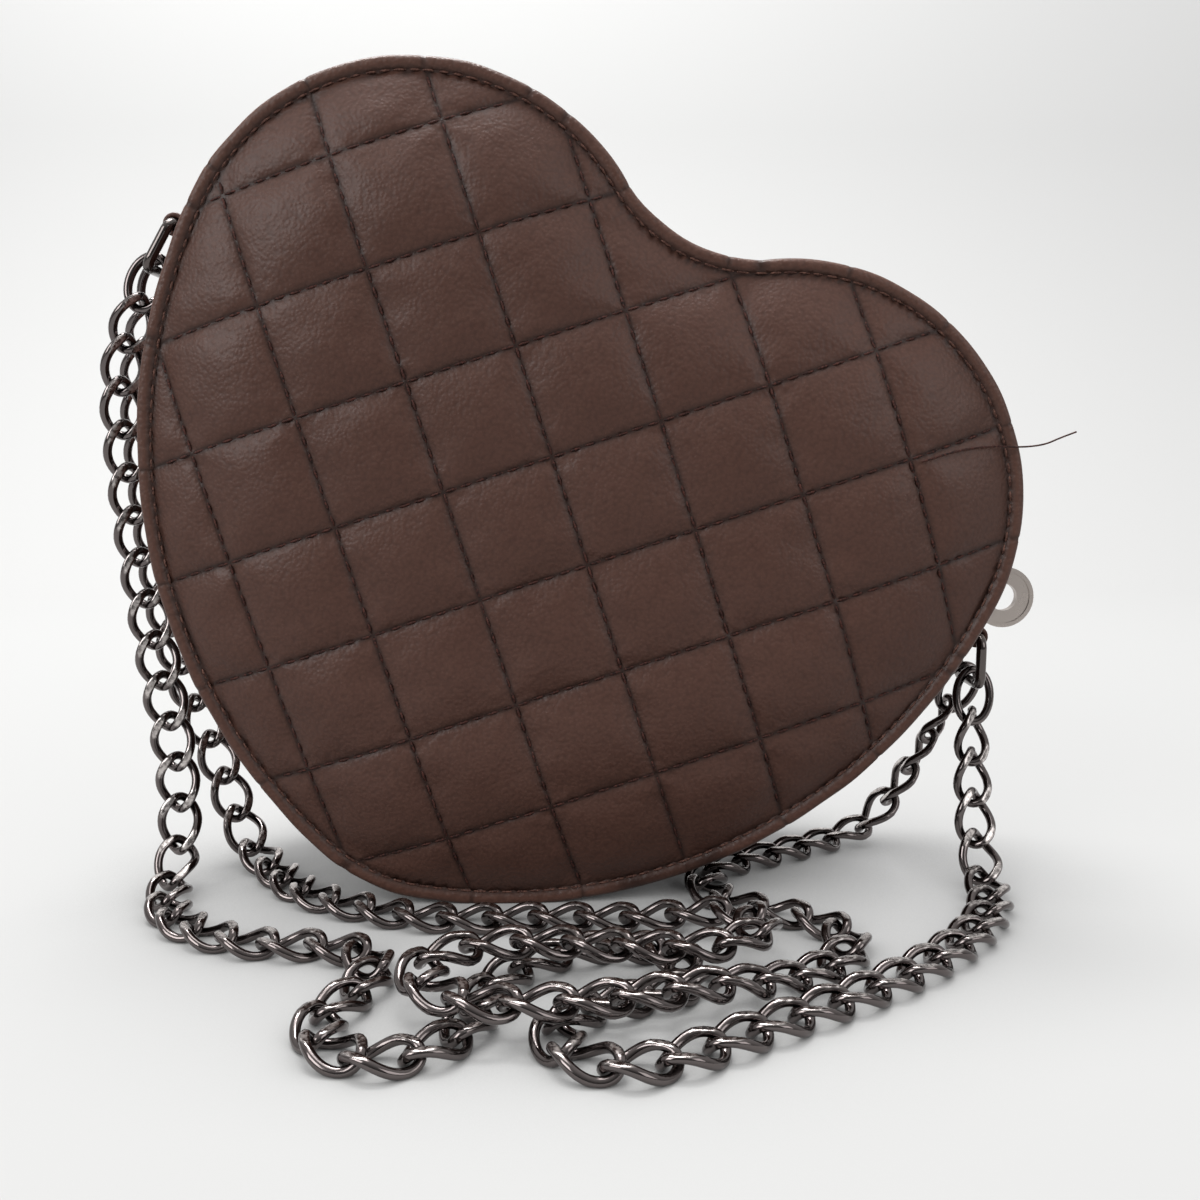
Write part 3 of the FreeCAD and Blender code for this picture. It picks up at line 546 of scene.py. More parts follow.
def bonded_thread(name, tone, painted_glint):
    """Dark twisted thread with a faint waxy shine, mottled with a lighter colour that paints glints on it."""
    made, tree, shader, place = new_material(name)
    ply = noise(tree, place, 0.5, 3.0)
    tint = between(tree, ramp(tree, ply, 0, 1, 0.35, 0.7), ink(tone), ink(painted_glint))
    plug(tree, shader, {"Base Color": tint, "Normal": bump(tree, ply, 0.6, 0.12), "Roughness": 0.65,
                        "Specular IOR Level": 0.25})
    return made


# Each thread's second, lighter colour is a painted highlight: glints mottled along it.
quilt_thread = bonded_thread("bonded_thread_quilting", "#1a0c0a", "#5a342c")
edge_thread = bonded_thread("bonded_thread_edge", "#351d18", "#7a574b")


def boxed(wave, power):
    """A cosine or sine for a superellipse: its size to a power, with its own sign."""
    return np.sign(wave) * np.abs(wave) ** power


def bean(rings, sides, square=1.0):
    """A closed spindle along its first axis from -1 to 1: rings of radius (1 - x^2)^0.35 and two poles.

    Below 1, square makes each ring a superellipse, which looks like a rounded box."""
    x = np.sin(np.linspace(-1, 1, rings) * 1.05)
    a = (np.arange(sides) + 0.5) * TAU / sides
    c, s = boxed(np.cos(a), square), boxed(np.sin(a), square)
    radius = (1 - x**2) ** 0.35
    body = np.stack([x[:, None] + 0 * c, radius[:, None] * c, radius[:, None] * s], -1).reshape(-1, 3)
    n, top = np.arange(sides), (rings - 1) * sides
    low = np.stack([np.full_like(n, rings * sides), n, (n + 1) % sides], -1)
    high = np.stack([np.full_like(n, rings * sides + 1), top + (n + 1) % sides, top + n], -1)
    quads = grid_faces(rings, sides, wrap_columns=True)
    points = np.concatenate([body, [[-1, 0, 0], [1, 0, 0]]])
    return points, quads[:, ::-1], np.concatenate([low, high])[:, ::-1]


def copies(name, shape, places, axes, material, lift=None):
    """A bean at each place. The three axes, half as long as the bean, make a right-handed set."""
    unit, quads, tips = shape
    points = places[:, None] + sum(axis[:, None] * unit[:, k, None] for k, axis in enumerate(axes))
    if lift is not None:
        points = points + np.broadcast_to(lift, places.shape)[:, None] * (1 - unit[:, :1] ** 2)
    shift = (np.arange(len(places)) * len(unit))[:, None, None]
    quads, tips = ((f + shift).reshape(-1, f.shape[1]) for f in (quads, tips))
    return piece(name, points, quads, material, tips.tolist())


def stitches(name, starts, ends, out, width, height, material, sink=0.12):
    """Beans of thread from starts to ends. They stand up along out, and both ends dip into the leather."""
    along = (ends - starts) / 2
    across = unit_rows(np.cross(out, along)) * width / 2
    up = unit_rows(np.cross(along, across)) * height / 2
    places = (starts + ends) / 2 - out * sink
    lift = out * height * STITCH_ARCH_SHARE
    return copies(name, bean(4, 6), places, (along, across, up), material, lift)


def quilt_stitch_ends(side):
    """Both ends of each stitch of the quilting, on the leather's surface, a little uneven."""
    found = []
    for lines, others, swap in ((lines_i, lines_j, False), (lines_j, lines_i, True)):
        count = STITCHES_PER_CELL * (len(others) + 1)
        at = others[0] + (np.arange(count) + 0.5) / STITCHES_PER_CELL
        whole, at = np.meshgrid(lines, at, indexing="ij")
        whole = whole.ravel() + rng.normal(0, QUILT_STITCH_STRAY, whole.size)
        half = QUILT_STITCH_HALF_SHARE / STITCHES_PER_CELL
        ends = []
        for way in (-half, half):
            pair = (at.ravel() + way, whole) if swap else (whole, at.ravel() + way)
            ends.append(quilt_place(*pair))
        keep = np.all([inset_of(u, v) > EDGE_SEAM + END_CLEAR for u, v in ends], axis=0)
        ends = [(u[keep], v[keep]) for u, v in ends]
        found.append([stand(u, v, side * (SKIN_Y + panel_height(u, v))) for u, v in ends])
    return [np.concatenate(part) for part in zip(*found)]


for face, side in FACES:
    made = stitches(face + "_quilt_stitches", *quilt_stitch_ends(side), np.array([0.0, side, 0.0]),
                    QUILT_STITCH_WIDE, STITCH_HIGH, quilt_thread, QUILT_STITCH_SUNK)

# %% [markdown]
# ## Rolled edge
# Outside the edge seam the leather turns over the rim and is sewn to the side wall, which makes a firm roll
# all round. The quilting seams run into it, so the roll is pinched where a line meets it. Its section is a
# rounded box, a superellipse, carried along the outline, with a hollow for the edge stitches.

# %% Rolled edges and their stitches
ROLL_FRONT = 28.0
ROLL_BACK = 23.3
ROLL_HALF_WIDE = 1.9
ROLL_FADE = 4.0
# The last number of the pinch and of the groove is the strength of the painted shade in each.
PINCH_WIDE, PINCH_IN, PINCH_DEEP, PINCH_SHADE = 0.45, 0.1, 0.25, 0.75
WAVER, WAVER_SIZE = 0.1, 21
GROOVE_WIDE, GROOVE, GROOVE_PULL, GROOVE_SHADE = 0.55, 0.5, 0.25, 0.8
ROLL_POINTS = 32
ROLL_POWER = 2 / 3.0
EDGE_STITCH = 3.1
EDGE_PITCH = 3.2
EDGE_STITCH_SHARE = 0.8
EDGE_STITCH_SUNK = 0.75
a = np.arange(ROLL_POINTS) * TAU / ROLL_POINTS
roll_inset = ROLL_HALF_WIDE + ROLL_HALF_WIDE * boxed(np.cos(a), ROLL_POWER)
roll_half = (ROLL_FRONT - ROLL_BACK) / 2
roll_out = (ROLL_FRONT + ROLL_BACK) / 2 + roll_half * boxed(np.sin(a), ROLL_POWER)
edge_i, edge_j = quilt_index(edge[:, 0] + 2 * edge[:, 2], edge[:, 1] + 2 * edge[:, 3])
pinch = np.exp(-((np.minimum(off_line(edge_i), off_line(edge_j)) / PINCH_WIDE) ** 2))[:, None]
along_edge = np.arange(len(edge))[:, None] * edge_length / len(edge)
waver = ripple(edge[:, 0], edge[:, 1], WAVER_SIZE)[:, None]
seam_hollow = np.exp(-(((roll_inset - EDGE_STITCH) / GROOVE_WIDE) ** 2)) * (roll_out > ROLL_FRONT - roll_half)
stitch_pull = 0.5 + 0.5 * np.cos(TAU * along_edge / EDGE_PITCH)
front_face = np.clip((roll_out - ROLL_BACK) / (ROLL_FRONT - ROLL_BACK), 0, 1)

for face, side in FACES:
    inset = roll_inset + (PINCH_IN * pinch + WAVER * waver) * (1 - roll_inset / ROLL_FADE)
    out = roll_out - seam_hollow * (GROOVE + GROOVE_PULL * stitch_pull) - PINCH_DEEP * pinch * front_face
    points = carried(edge, inset, side * out).reshape(-1, 3)
    points[:, 2] = np.maximum(points[:, 2], 0)
    faces = facing_out(points, grid_faces(len(edge), ROLL_POINTS, True, True))
    # The roll wears the lighter copy of the leather, whose extra lightness is painted light.
    made = piece(face + "_rolled_edge", points, faces, edge_leather_painted_lighter)
    # Painted shade in the edge stitches' groove and in the creases where the roll is pinched.
    mark(made, "painted_seam_shade", np.maximum(seam_hollow * GROOVE_SHADE, PINCH_SHADE * pinch * front_face))
    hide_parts(face + "_binding")


def edge_stitch_ends(side):
    """Both ends of each stitch of the line that follows the whole edge at one inset."""
    count = round(edge_length / EDGE_PITCH)
    ends = []
    for way in (-EDGE_STITCH_SHARE / 2, EDGE_STITCH_SHARE / 2):
        at = ((np.arange(count) + 0.5 + way) / count * len(edge)).round().astype(int) % len(edge)
        ends.append(beside(edge[at], EDGE_STITCH, side * (ROLL_FRONT - EDGE_STITCH_SUNK)))
    return ends


for face, side in FACES:
    made = stitches(face + "_edge_stitches", *edge_stitch_ends(side), np.array([0.0, side, 0.0]),
                    EDGE_STITCH_WIDE, STITCH_HIGH, edge_thread)

# %% [markdown]
# ## Side wall
# A strip of leather joins the two faces. Below the strap tabs it is one piece; above them it is two pieces
# with the zip between. Each is a flat section with round ends, carried along a stretch of the edge. Between
# its seams the wall swells outwards a little, and where two strips meet both ends turn in.

# %% Gusset strips
WALL_OUT = 4.0
WALL_THICK = 1.4
WALL_HALF = 25.4
WALL_SWELL = 0.5
ZIP_WALL_SWELL = 0.25
SEAM_V = -6.0
SEAM_GAP = 0.2
SEAM_DIP = 0.55
ZIP_HALF = 5.5


def stretch(keep):
    """The unbroken run of edge points for which keep holds, in order."""
    start = np.flatnonzero(keep & ~np.roll(keep, 1))[0]
    return np.roll(edge, -start, axis=0)[: keep.sum()]


def flat_section(y0, y1, inset, thick, swelling=0.0):
    """A long section between two depths with half-round ends, whose middle swells outwards."""
    r, turn = thick / 2, np.linspace(0, math.pi, 9)[1:-1]
    run = np.linspace(y0 + r, y1 - r, 28)
    y = np.concatenate([run, y1 - r + r * np.sin(turn), run[::-1], y0 + r - r * np.sin(turn)])
    off = np.concatenate([0 * run - r, -r * np.cos(turn), 0 * run + r, r * np.cos(turn)])
    share = (y - (y0 + y1) / 2) / ((y1 - y0) / 2)
    return inset + r + off - swelling * (1 - share**2), y


def swept(name, points, material):
    """A closed solid from rings of points, one after another, with a flat cap at both ends."""
    rows, columns = points.shape[:2]
    flat = points.reshape(-1, 3)
    plain = grid_faces(rows, columns, wrap_columns=True)
    faces = facing_out(flat - flat.mean(0), plain)
    turn = 1 if faces is plain else -1
    ring = np.arange(columns)
    caps = [ring[::turn], (ring + (rows - 1) * columns)[::-turn]]
    return piece(name, flat, faces, material, [c.tolist() for c in caps])


def turned_in(line):
    """Extra inset for each row of a strip: it falls off as exp(-rows) from both ends."""
    row = np.arange(len(line))[:, None]
    return SEAM_DIP * np.exp(-np.minimum(row, row[::-1]))


below = edge[:, 1] + WALL_OUT * edge[:, 3] <= SEAM_V + SEAM_GAP
upper_edge = stretch(~below)
lower_edge = stretch(np.roll(below, 1) | below | np.roll(below, -1))
wall_leather = coated_leather("coated_leather_side_wall", ("#54372f", "#4e322a", "#5a3e34"), "#24140f", 0.52)

inset, y = flat_section(-WALL_HALF, WALL_HALF, WALL_OUT, WALL_THICK, WALL_SWELL)
made = swept("lower_gusset_strip", carried(lower_edge, inset + turned_in(lower_edge), y), wall_leather)
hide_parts("lower_gusset")

for face, side in FACES:
    across = sorted([side * WALL_HALF, side * ZIP_HALF])
    inset, y = flat_section(*across, WALL_OUT, WALL_THICK, ZIP_WALL_SWELL)
    strip = carried(upper_edge, inset + turned_in(upper_edge), y)
    made = swept("zip_gusset_strip_" + face, strip, wall_leather)
    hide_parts("zip_gusset_" + face)

# %% [markdown]
# ## Zip
# Two woven tapes lie under the folded edges of the side wall and carry interlocking teeth on their inner
# edges. A tooth is a rounded block, the same bean as a stitch with squarer rings. Teeth stand a pitch apart
# along the tape, and the back row is half a pitch behind the front row.

# %% Tapes, teeth and topstitching
TAPE_OUT = 5.5
TAPE_THICK = 0.6
TAPE_IN_Y = 2.9
TAPE_OUT_Y = 14.9
TAPE_V = -4.0
TOOTH_INSET = 5.8
TOOTH_PITCH = 3.0
TOOTH_LENGTH = 1.25
TOOTH_HEIGHT = 2.4
TOOTH_REACH = 2.8
TOOTH_OVERLAP = 0.9
TOP_STITCH_PITCH = 3.2
TOP_STITCH_HALF = 1.25
TOP_STITCH_WIDE = 0.6
TOP_STITCH_OFF = 2.4
TOP_STITCH_START = 2.0
SLIDER_TURN = math.radians(12)
ZIP_END_TURN = math.radians(174)


def woven_tape(name, tone, thread):
    """Ribbed cloth: ridges that run along the zip, crossed by a fine weave."""
    made, tree, shader, place = new_material(name)
    ribs = {"Vector": place, "Scale": per_mm(5), "Distortion": 0.3}
    rib = add(tree, "ShaderNodeTexWave", ribs, bands_direction="Y")[1]
    weave = add(tree, "ShaderNodeTexVoronoi", {"Vector": place, "Scale": per_mm(0.45)})[0]
    bumped = bump(tree, weave, 0.5, 0.1, bump(tree, rib, 0.6, 0.2))
    tint = between(tree, rib, ink(tone), ink(thread))
    plug(tree, shader, {"Base Color": tint, "Normal": bumped, "Roughness": 0.9})
    return made


def plated_metal(name, tone, worn, rough):
    """Dark plated metal: glossy, a little cloudy, and paler where the vertex number pressed is high."""
    made, tree, shader, place = new_material(name)
    flat = add(tree, "ShaderNodeAttribute", {}, attribute_name="pressed")["Fac"]
    scuff = noise(tree, place, 0.9, 3.0)
    rubbed = maths(tree, "MULTIPLY", flat, ramp(tree, scuff, 0.25, 1, 0.35, 0.62))
    gloss = ramp(tree, noise(tree, place, 4, 4.0), rough - 0.05, rough + 0.08, 0.3, 0.7)
    gloss = maths(tree, "MULTIPLY_ADD", rubbed, 0.22, gloss)
    tint = between(tree, rubbed, ink(tone), ink(worn))
    plug(tree, shader, {"Base Color": tint, "Roughness": gloss, "Metallic": 1.0})
    return made


tape_cloth = woven_tape("woven_zip_tape", "#241816", "#33241f")
tooth_metal = plated_metal("gunmetal_plated_zip_teeth", "#5d5653", "#8a827c", 0.3)
tape_edge = stretch(edge[:, 1] + TAPE_OUT * edge[:, 3] > TAPE_V)
zip_line = upper_edge[::-1]
zip_middle = zip_line[:, :2] + TOOTH_INSET * zip_line[:, 2:]
zip_run = np.concatenate([[0], np.cumsum(np.hypot(*np.diff(zip_middle, axis=0).T))])
turns = np.arctan2(zip_line[:, 1], np.abs(zip_line[:, 0]) - LOBE_U)
zip_start = zip_run[(zip_line[:, 0] > LOBE_U) & (turns > SLIDER_TURN)][0]
zip_end = zip_run[(zip_line[:, 0] < -LOBE_U) & (turns > math.pi - ZIP_END_TURN)][-1]


def on_zip(run):
    """Places on the edge at lengths along the zip's middle line, as rows of u, v and inward normal."""
    return sampled(run, zip_run, zip_line)


for face, side in FACES:
    section = flat_section(*sorted([side * TAPE_IN_Y, side * TAPE_OUT_Y]), TAPE_OUT, TAPE_THICK)
    made = swept("zip_tape_strip_" + face, carried(tape_edge, *section), tape_cloth)
    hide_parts("zip_tape_" + face)

    first = zip_start + TOOTH_PITCH * (0.5 if side < 0 else 1)
    run = np.arange(first, zip_end - TOOTH_PITCH / 2, TOOTH_PITCH)
    y = side * (TOOTH_REACH - TOOTH_OVERLAP) / 2
    middle = beside(on_zip(run), TOOTH_INSET, y)
    inward = beside(on_zip(run), TOOTH_INSET + TOOTH_HEIGHT / 2, y) - middle
    across = np.zeros_like(middle)
    across[:, 1] = -side * (TOOTH_REACH + TOOTH_OVERLAP) / 2
    along = unit_rows(np.cross(across, inward)) * TOOTH_LENGTH / 2
    made = copies("zip_tooth_row_" + face, bean(4, 8, 0.5), middle, (across, inward, along), tooth_metal)
    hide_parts("zip_teeth_" + face)

    run = np.arange(TOP_STITCH_START, zip_run[-1] - TOP_STITCH_START, TOP_STITCH_PITCH)
    y = side * (ZIP_HALF + TOP_STITCH_OFF)
    starts, ends = (beside(on_zip(run + way), WALL_OUT, y) for way in (-TOP_STITCH_HALF, TOP_STITCH_HALF))
    out = unit_rows((starts + ends) / 2 - beside(on_zip(run), WALL_OUT + 1, y))
    made = stitches("zip_gusset_stitches_" + face, starts, ends, out, TOP_STITCH_WIDE, STITCH_HIGH,
                    edge_thread)

# %% [markdown]
# ## Strap tabs
# A leather strip is folded round each ring's bar, and both its ends are sewn into the side wall. Its line
# goes out along the neck, round the bar and back, and a flat section follows it.


# %% Tabs
def soft_line(route, per_span=24):
    """Points of Blender's smooth NURBS line of order 3, which starts and ends on the route's ends."""
    curve = bpy.data.curves.new("route", "CURVE")
    curve.dimensions = "3D"
    spline = curve.splines.new("NURBS")
    spline.points.add(len(route) - 1)
    spline.points.foreach_set("co", np.column_stack([route, np.ones(len(route))]).ravel())
    spline.order_u = 3
    spline.use_endpoint_u = True
    spline.resolution_u = per_span
    holder = bpy.data.objects.new("route", curve)
    mesh = bpy.data.meshes.new_from_object(holder)
    line = np.empty(len(mesh.vertices) * 3)
    mesh.vertices.foreach_get("co", line)
    bpy.data.objects.remove(holder)
    bpy.data.curves.remove(curve)
    bpy.data.meshes.remove(mesh)
    return line.reshape(-1, 3)


TAB_U = 105.0
TAB_ROOT = 91.6
TAB_THICK = 1.15
TAB_HALF = 5.25
LOOP_HOLE = 1.5
LOOP_RADIUS = LOOP_HOLE + TAB_THICK / 2
LOOP_STEP = math.radians(35)
loop_turn = np.linspace(4, -4, 9) * LOOP_STEP
reach = LOOP_RADIUS / math.cos(LOOP_STEP / 2)
half_neck = [(TAB_ROOT, 0.6), (TAB_U - 6.5, 0.6), (TAB_U - 3.2, 0.65)]
loop_points = [(TAB_U + reach * math.cos(t), reach * math.sin(t)) for t in loop_turn]
tab_route = half_neck + loop_points + [(u, -v) for u, v in half_neck[::-1]]
for hand, sense in (("left", -1), ("right", 1)):
    line = soft_line(np.array([(sense * u, 0, SEAM_V + v) for u, v in tab_route]))
    out = unit_rows(np.cross(np.gradient(line, axis=0), [0, 1, 0]))
    off, y = flat_section(-TAB_HALF, TAB_HALF, -TAB_THICK / 2, TAB_THICK)
    points = stand(line[:, :1] + out[:, :1] * off, line[:, 2:] + out[:, 2:] * off, y)
    made = swept(hand + "_tab_strip", points, wall_leather)
    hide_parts(hand + "_strap_tab")

# %% [markdown]
# ## Loose thread
# One end of the quilting thread was never trimmed. It lies over the last squares of the right lobe, crosses
# the edge and stands out in the air. It is a round tube on a smooth line. The line's first points take their
# depth from the leather under them, and its last ones are given as u, v and depth.

# %% Thread end
LOOSE_RADIUS = 0.19
LOOSE_SIDES = 8
LOOSE_LIFT = 0.7
LOOSE_ROUTE = np.array([(64.8, 21.0), (70.5, 26.7), (78.3, 31.7)])
LOOSE_END = np.array([(83.8, 34.1, 28.9), (88.3, 37.0, 28.6), (90.8, 40.0, 28.1), (93.5, 42.8, 27.6)])
off_panel = np.hypot(*(LOOSE_ROUTE[:, None] - np.column_stack([panel_u, panel_v])).transpose(2, 0, 1))
over = SKIN_Y + panel_rise[off_panel.argmin(1)] + LOOSE_LIFT
route = np.concatenate([np.column_stack([LOOSE_ROUTE, over]), LOOSE_END])
line = soft_line(stand(route[:, 0], route[:, 1], -route[:, 2]))
along = np.gradient(line, axis=0)
across = unit_rows(np.cross(along, [0, 1, 0]))
level = unit_rows(np.cross(across, along))
points = tube(line, across, level, LOOSE_RADIUS, LOOSE_SIDES)
made = swept("loose_quilting_thread", points, quilt_thread)

# %% [markdown]
# ## Chain
# A curb chain: every link is an oval of round wire whose ends are turned opposite ways, so that the links
# lie flat in one line, and then the chain is pressed, which leaves a bright flat on both sides. A point of
# the oval is turned about the link's length by an angle that grows from its middle to its ends. Links stand
# on joints that lie an even step apart along the strand's route. The rear strand folds back over the front
# one, a layer of links higher.

# %% Links
LINK_LONG = 6.4
LINK_WIDE = 4.1
LINK_WIRE = 1.0
LINK_TWIST = math.radians(46)
LINK_PRESSED = 2.072
LINK_PITCH = 9.9
LINK_PLAY = 0.9
LINK_CLEAR = 0.2
LINK_LIE = LINK_PRESSED + LINK_CLEAR
LINK_LAYER = 5.3
RING_HOLD = 1.7
RING_DROP = 11.4
RING_LEAN = {"left": math.radians(-30), "right": 0.0}
CHAIN_APART = 3.6
ROUND_LINK = 44
ROUND_WIRE = 12
HALVINGS = 30


def oval_link(twist):
    """Points and pressed marks of one link along X: a tube round a twisted oval, cut level at its flats."""
    t = np.arange(ROUND_LINK)[:, None] * TAU / ROUND_LINK
    turn = twist * np.cos(t)
    side = LINK_WIDE * np.sin(t)
    middle = np.concatenate([LINK_LONG * np.cos(t), side * np.cos(turn), side * np.sin(turn)], 1)
    along = unit_rows(np.roll(middle, -1, 0) - np.roll(middle, 1, 0))
    level = np.concatenate([0 * turn, -np.sin(turn), np.cos(turn)], 1)
    out = unit_rows(np.cross(along, level))
    points = tube(middle, out, np.cross(out, along), LINK_WIRE, ROUND_WIRE).reshape(-1, 3)
    pressed = np.abs(points[:, 2]) > LINK_PRESSED
    points[:, 2] = np.clip(points[:, 2], -LINK_PRESSED, LINK_PRESSED)
    return points, pressed if twist else 0 * pressed


def march(line, step):
    """Places on a line, counted in its points, that follow each other at a straight step."""
    found, here, k = [0.0], line[0], 0
    while True:
        far = np.linalg.norm(line[k:] - here, axis=1)
        past = np.flatnonzero(far >= step)
        if not len(past):
            return np.array(found)
        n = k + past[0]
        near = np.linalg.norm(line[n - 1] - here)
        share = (step - near) / (far[past[0]] - near)
        here, k = line[n - 1] + share * (line[n] - line[n - 1]), n
        found.append(n - 1 + share)


def pace(line):
    """The step, a little under the pitch, at which the last link ends on the second ring."""
    wanted = len(march(line, LINK_PITCH)) + 1
    low, high = LINK_PITCH - LINK_PLAY, LINK_PITCH
    for _ in range(HALVINGS):
        step = (low + high) / 2
        low, high = (step, high) if len(march(line, step)) >= wanted else (low, step)
    return low


# %% [markdown]
# Each strand hangs from the left ring, lies on the floor and climbs to the right ring. Its route is given in
# millimetres from the floor under the heart's origin. A floor point's third number is the share of a layer
# under it. Hanging links face one way and lying ones face up, and the facing turns on the way between them.

# %% The two strands
HANG = np.array([math.cos(LINK_TWIST), -math.sin(LINK_TWIST), 0])
UP = np.array([0.0, 0.0, 1.0])


def lying(places):
    """Places (x, y) on the floor, with no share of a layer of links under them."""
    return np.column_stack([places, np.zeros(len(places))])


STRANDS = {
    "front": {
        "y": -CHAIN_APART, "land": (0, -1, 0), "rise": (0, -1, 0),
        "left": [(-106.5, -5, 131), (-109.5, -7, 119), (-108.5, -8, 100), (-107, -8, 80), (-104.5, -8, 60),
                 (-102, -8, 41.5), (-100, -8.5, 28), (-99.5, -9.5, 14.5), (-99, -13.5, 5.5)],
        "floor": lying([(-98.5, -23), (-96.5, -33), (-89.5, -43.5), (-79, -50.5), (-68, -54.5), (-57, -54),
                        (-47, -58), (-44, -69), (-49, -79), (-54, -88), (-49.5, -97.5), (-40, -102),
                        (-29.5, -97.5), (-24.5, -88), (-24, -77), (-19.5, -66.5), (-10, -59.5), (1, -55.5),
                        (12, -58), (17.5, -67.5), (13.5, -77.5), (2.5, -80), (-7.5, -83.5), (-13, -94),
                        (-6, -104), (5, -104.5), (16, -98), (27, -90.5), (38, -84), (49, -77), (59, -69.5),
                        (68.5, -61), (77, -51.5), (84, -40.5), (88, -28)]),
        "right": [(88.5, -19, 4), (89, -13, 14), (89.5, -8.5, 25), (90, -5.5, 35.5)],
    },
    "rear": {
        "y": CHAIN_APART, "land": (0.55, -0.83, 0), "rise": (-0.93, -0.36, 0),
        "left": [(-107, 6, 131), (-110.5, 8, 118), (-110, 9, 97), (-108.5, 9, 77), (-106.5, 9, 58),
                 (-101, 8.5, 39.5), (-95, 8, 25), (-90, 4.5, 11), (-86.5, 1, 4.5)],
        "floor": np.concatenate([
            lying([(-79, -8), (-73, -18), (-66, -27.5), (-56, -33), (-46, -38.5), (-35, -41.5), (-24, -41.5),
                   (-12, -41), (0, -42)]),
            [(10.4, -43.7, 0.12), (21.9, -43.9, 0.43), (29, -48.8, 0.75), (32.3, -59.8, 1), (25, -68.8, 1),
             (12.2, -70, 1), (1.5, -68.5, 1), (-10, -66.5, 1), (-21, -66, 1), (-32, -69.5, 1),
             (-37.5, -79, 1), (-32, -89, 1), (-21.5, -92.5, 1), (-10.5, -92, 1), (0.5, -90.5, 1),
             (11.5, -87.5, 1), (22, -82.5, 0.8), (32, -76, 0.22)],
            lying([(41.5, -69), (49.5, -61), (50, -50), (42.5, -41.5), (32, -37.5), (23.5, -30), (22, -19),
                   (28.5, -10), (38.5, -5), (49, 1.5), (58, 7)])]),
        "right": [(67.5, 11, 3.5), (74.5, 11, 11), (80.5, 9.5, 22), (86, 6.5, 34)],
    },
}


def ring_end(hand, y, first):
    """Where a strand's end link is held: just past the ring's lower bar, away from the next point."""
    pivot = np.array(joints[hand + "_ring_swing"]["pos_m"]) / MM
    lean = RING_LEAN[hand]
    bar = pivot + [RING_DROP * math.sin(lean), y, -RING_DROP * math.cos(lean)]
    away = first - bar
    return bar - away / np.linalg.norm(away) * RING_HOLD


def strand_rows(strand):
    """The strand's route from the left ring to the right one, and the way its links face at each point."""
    moved = np.array([ORIGIN_X, 0, 0])
    left, right = np.array(strand["left"]) + moved, np.array(strand["right"]) + moved
    floor = strand["floor"] * [1, 1, LINK_LAYER] + [0, 0, LINK_LIE] + moved
    start, end = ring_end("left", strand["y"], left[0]), ring_end("right", strand["y"], right[-1])
    land, rise = np.array(strand["land"]), np.array(strand["rise"])
    down = (np.arange(len(left)) + 1)[:, None] / len(left)
    climb = np.arange(len(right))[:, None] / len(right)
    last = HANG if HANG @ rise > 0 else -HANG
    facing = [HANG[None], HANG * (1 - down) + land * down, np.tile(UP, (len(floor), 1)),
              rise * (1 - climb) + last * climb, last[None]]
    return np.concatenate([start[None], left, floor, right, end[None]]), np.concatenate(facing)


chain_metal = plated_metal("gunmetal_plated_chain", "#686160", "#dcd5d2", 0.12)
curb, curb_pressed = oval_link(LINK_TWIST)
plain, plain_pressed = oval_link(0)
link_faces = facing_out(curb, grid_faces(ROUND_LINK, ROUND_WIRE, True, True))
for name, strand in STRANDS.items():
    route, facing = strand_rows(strand)
    line, normals = soft_line(route), soft_line(facing)
    step = pace(line)
    at = march(line, step)
    count = np.arange(len(line))
    knots, faced = sampled(at, count, line), sampled(at, count, normals)
    x = unit_rows(knots[1:] - knots[:-1])
    z = faced[1:] + faced[:-1]
    z[[0, -1]] = [0, 1, 0]
    z = unit_rows(z - x * np.sum(x * z, 1, keepdims=True))
    y = np.cross(z, x)
    ring_link = np.isin(np.arange(len(x)), [0, len(x) - 1])[:, None, None]
    unit = np.where(ring_link, plain, curb)
    points = (knots[1:] + knots[:-1])[:, None] / 2
    points = points + x[:, None] * unit[..., :1] + y[:, None] * unit[..., 1:2] + z[:, None] * unit[..., 2:]
    faces = (link_faces + (np.arange(len(x)) * len(curb))[:, None, None]).reshape(-1, 4)
    made = piece(name + "_chain_strand", points, faces, chain_metal)
    mark(made, "pressed", np.where(ring_link[..., 0], plain_pressed, curb_pressed))
    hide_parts(*(name + "_chain_" + part for part in ("left_drop", "floor", "right_drop")))
    print(name, "strand:", len(x), "links of", round(step, 2), "mm")

# %% [markdown]
# ## Rigid fittings
# The slider, its arch, the pull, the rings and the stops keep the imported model's own shapes, and only get
# their metals. Board and linings are inside the bag and get plain materials.

# %% Metals and hidden layers
fitting_metal = plated_metal("gunmetal_plated_fittings", "#5e5856", "#8a827c", 0.15)
disc_metal = plated_metal("worn_nickel_disc", "#b3aaa4", "#d0c8c2", 0.3)
lining_cloth = woven_tape("woven_lining", "#2a1d1a", "#33241f")
board, tree, shader, _ = new_material("stiffening_board")
plug(tree, shader, {"Base Color": ink("#7a6a58")})
coats = {
    fitting_metal: ["zip_slider", "slider_arch", "pull_link", "left_strap_ring", "right_strap_ring"],
    tooth_metal: ["zip_end_stop", "zip_top_stops"],
    disc_metal: ["pull_disc"],
    board: ["front_panel_board", "back_panel_board"],
    lining_cloth: ["front_panel_lining", "back_panel_lining", "lower_gusset_lining", "zip_lining_front",
                   "zip_lining_back"],
}
for material, nodes in coats.items():
    for node in nodes:
        frame["nodes"][node].material_slots[0].material = material
    print(material.name, "on", ", ".join(nodes))

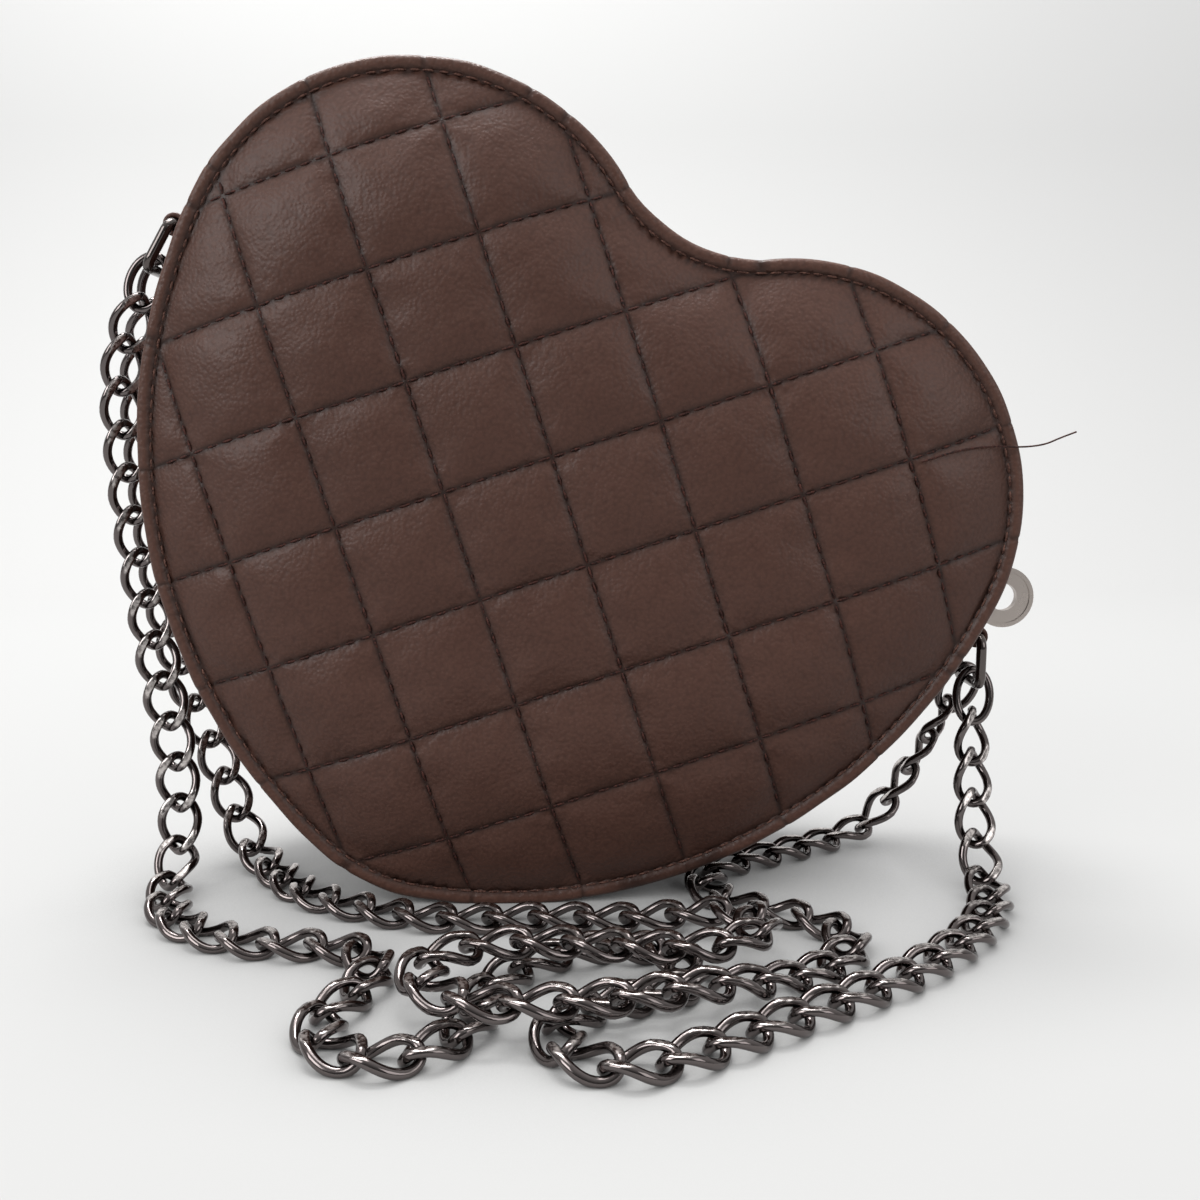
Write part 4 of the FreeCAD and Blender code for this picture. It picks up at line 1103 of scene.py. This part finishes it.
# %% [markdown]
# ## Studio
# A pale sweep of paper under and behind the bag. Soft boxes stand above and to the sides, so that the leather
# shows their light and not their mirror image, and one more lights the paper behind. For the camera and in
# mirrors, the paper also glows a little wherever nothing stands close to it, so it stays pale but keeps the
# shadows. The room behind the camera is darker, which is what the metal mirrors between its bright streaks.

# %% Sweep, lamps and world
PAPER_GLOW = 0.49
GLOW_CLEAR = 35.0
scene.view_settings.view_transform = "Standard"
paper, tree, shader, _ = new_material("matte_paper_sweep")
ray = add(tree, "ShaderNodeLightPath", {})
seen = maths(tree, "MAXIMUM", ray["Is Camera Ray"], ray["Is Glossy Ray"])
openness = add(tree, "ShaderNodeAmbientOcclusion", {"Distance": GLOW_CLEAR * MM}, samples=6)["AO"]
glow = maths(tree, "MULTIPLY", maths(tree, "MULTIPLY", seen, openness), PAPER_GLOW)
plug(tree, shader, {"Base Color": between(tree, seen, ink("#565656"), ink("#7b7b7a")), "Roughness": 0.9,
                    "Specular IOR Level": 0.1, "Emission Color": ink("#ffffff"), "Emission Strength": glow})

SWEEP_WIDE = 3000.0
SWEEP_FRONT = -1500.0
SWEEP_BEND = 500.0
SWEEP_RADIUS = 400.0
SWEEP_HIGH = 1600.0
bend = np.linspace(0, math.pi / 2, 24)
sweep_back = SWEEP_BEND + SWEEP_RADIUS
sweep_y = np.concatenate([[SWEEP_FRONT], SWEEP_BEND + SWEEP_RADIUS * np.sin(bend), [sweep_back]])
sweep_z = np.concatenate([[0], SWEEP_RADIUS * (1 - np.cos(bend)), [SWEEP_HIGH]])
sweep_x = np.linspace(-SWEEP_WIDE / 2, SWEEP_WIDE / 2, 2)
sweep = np.stack(np.broadcast_arrays(sweep_x[None, :], sweep_y[:, None], sweep_z[:, None]), -1)
made = smooth_mesh("paper_sweep", sweep, grid_faces(*sweep.shape[:2])[:, ::-1])
made.data.materials.append(paper)


def soft_box(name, at, aim, size, power):
    """A square area lamp at one place, turned towards another, both in metres."""
    lamp = bpy.data.lights.new(name, "AREA")
    lamp.shape = "SQUARE"
    lamp.size = size
    lamp.energy = power
    made = in_scene(name, lamp)
    made.location = at
    x, y, z = np.array(aim) - np.array(at)
    made.rotation_euler = (math.atan2(math.hypot(x, y), -z), 0, math.atan2(y, x) - math.pi / 2)
    print(name, power, "W")


BAG_MIDDLE = (0, 0, 0.09)
soft_box("left_box", (-0.75, -0.7, 0.62), BAG_MIDDLE, 0.6, 6.6)
soft_box("right_box", (0.75, -0.7, 0.5), BAG_MIDDLE, 0.6, 2.7)
soft_box("overhead_box", (-0.1, 0.0, 1.0), BAG_MIDDLE, 0.5, 3.2)
soft_box("paper_box", (-0.2, 0.4, 1.2), (-0.1, 0.95, 0.5), 0.6, 26.5)

sky = bpy.data.worlds.new("studio_room")
scene.world = sky
sky.use_nodes = True
tree = sky.node_tree
looking = add(tree, "ShaderNodeTexCoord", {})["Generated"]
toward = add(tree, "ShaderNodeSeparateXYZ", {"Vector": looking})
far_side = ramp(tree, toward["Y"], 0.14, 0.6, -0.9, 0.2)
above = ramp(tree, toward["Z"], 0, 0.35, 0.2, 0.9)
level = maths(tree, "ADD", far_side, above)
plug(tree, tree.nodes["Background"], {"Color": ink("#f6f6f5"), "Strength": level})
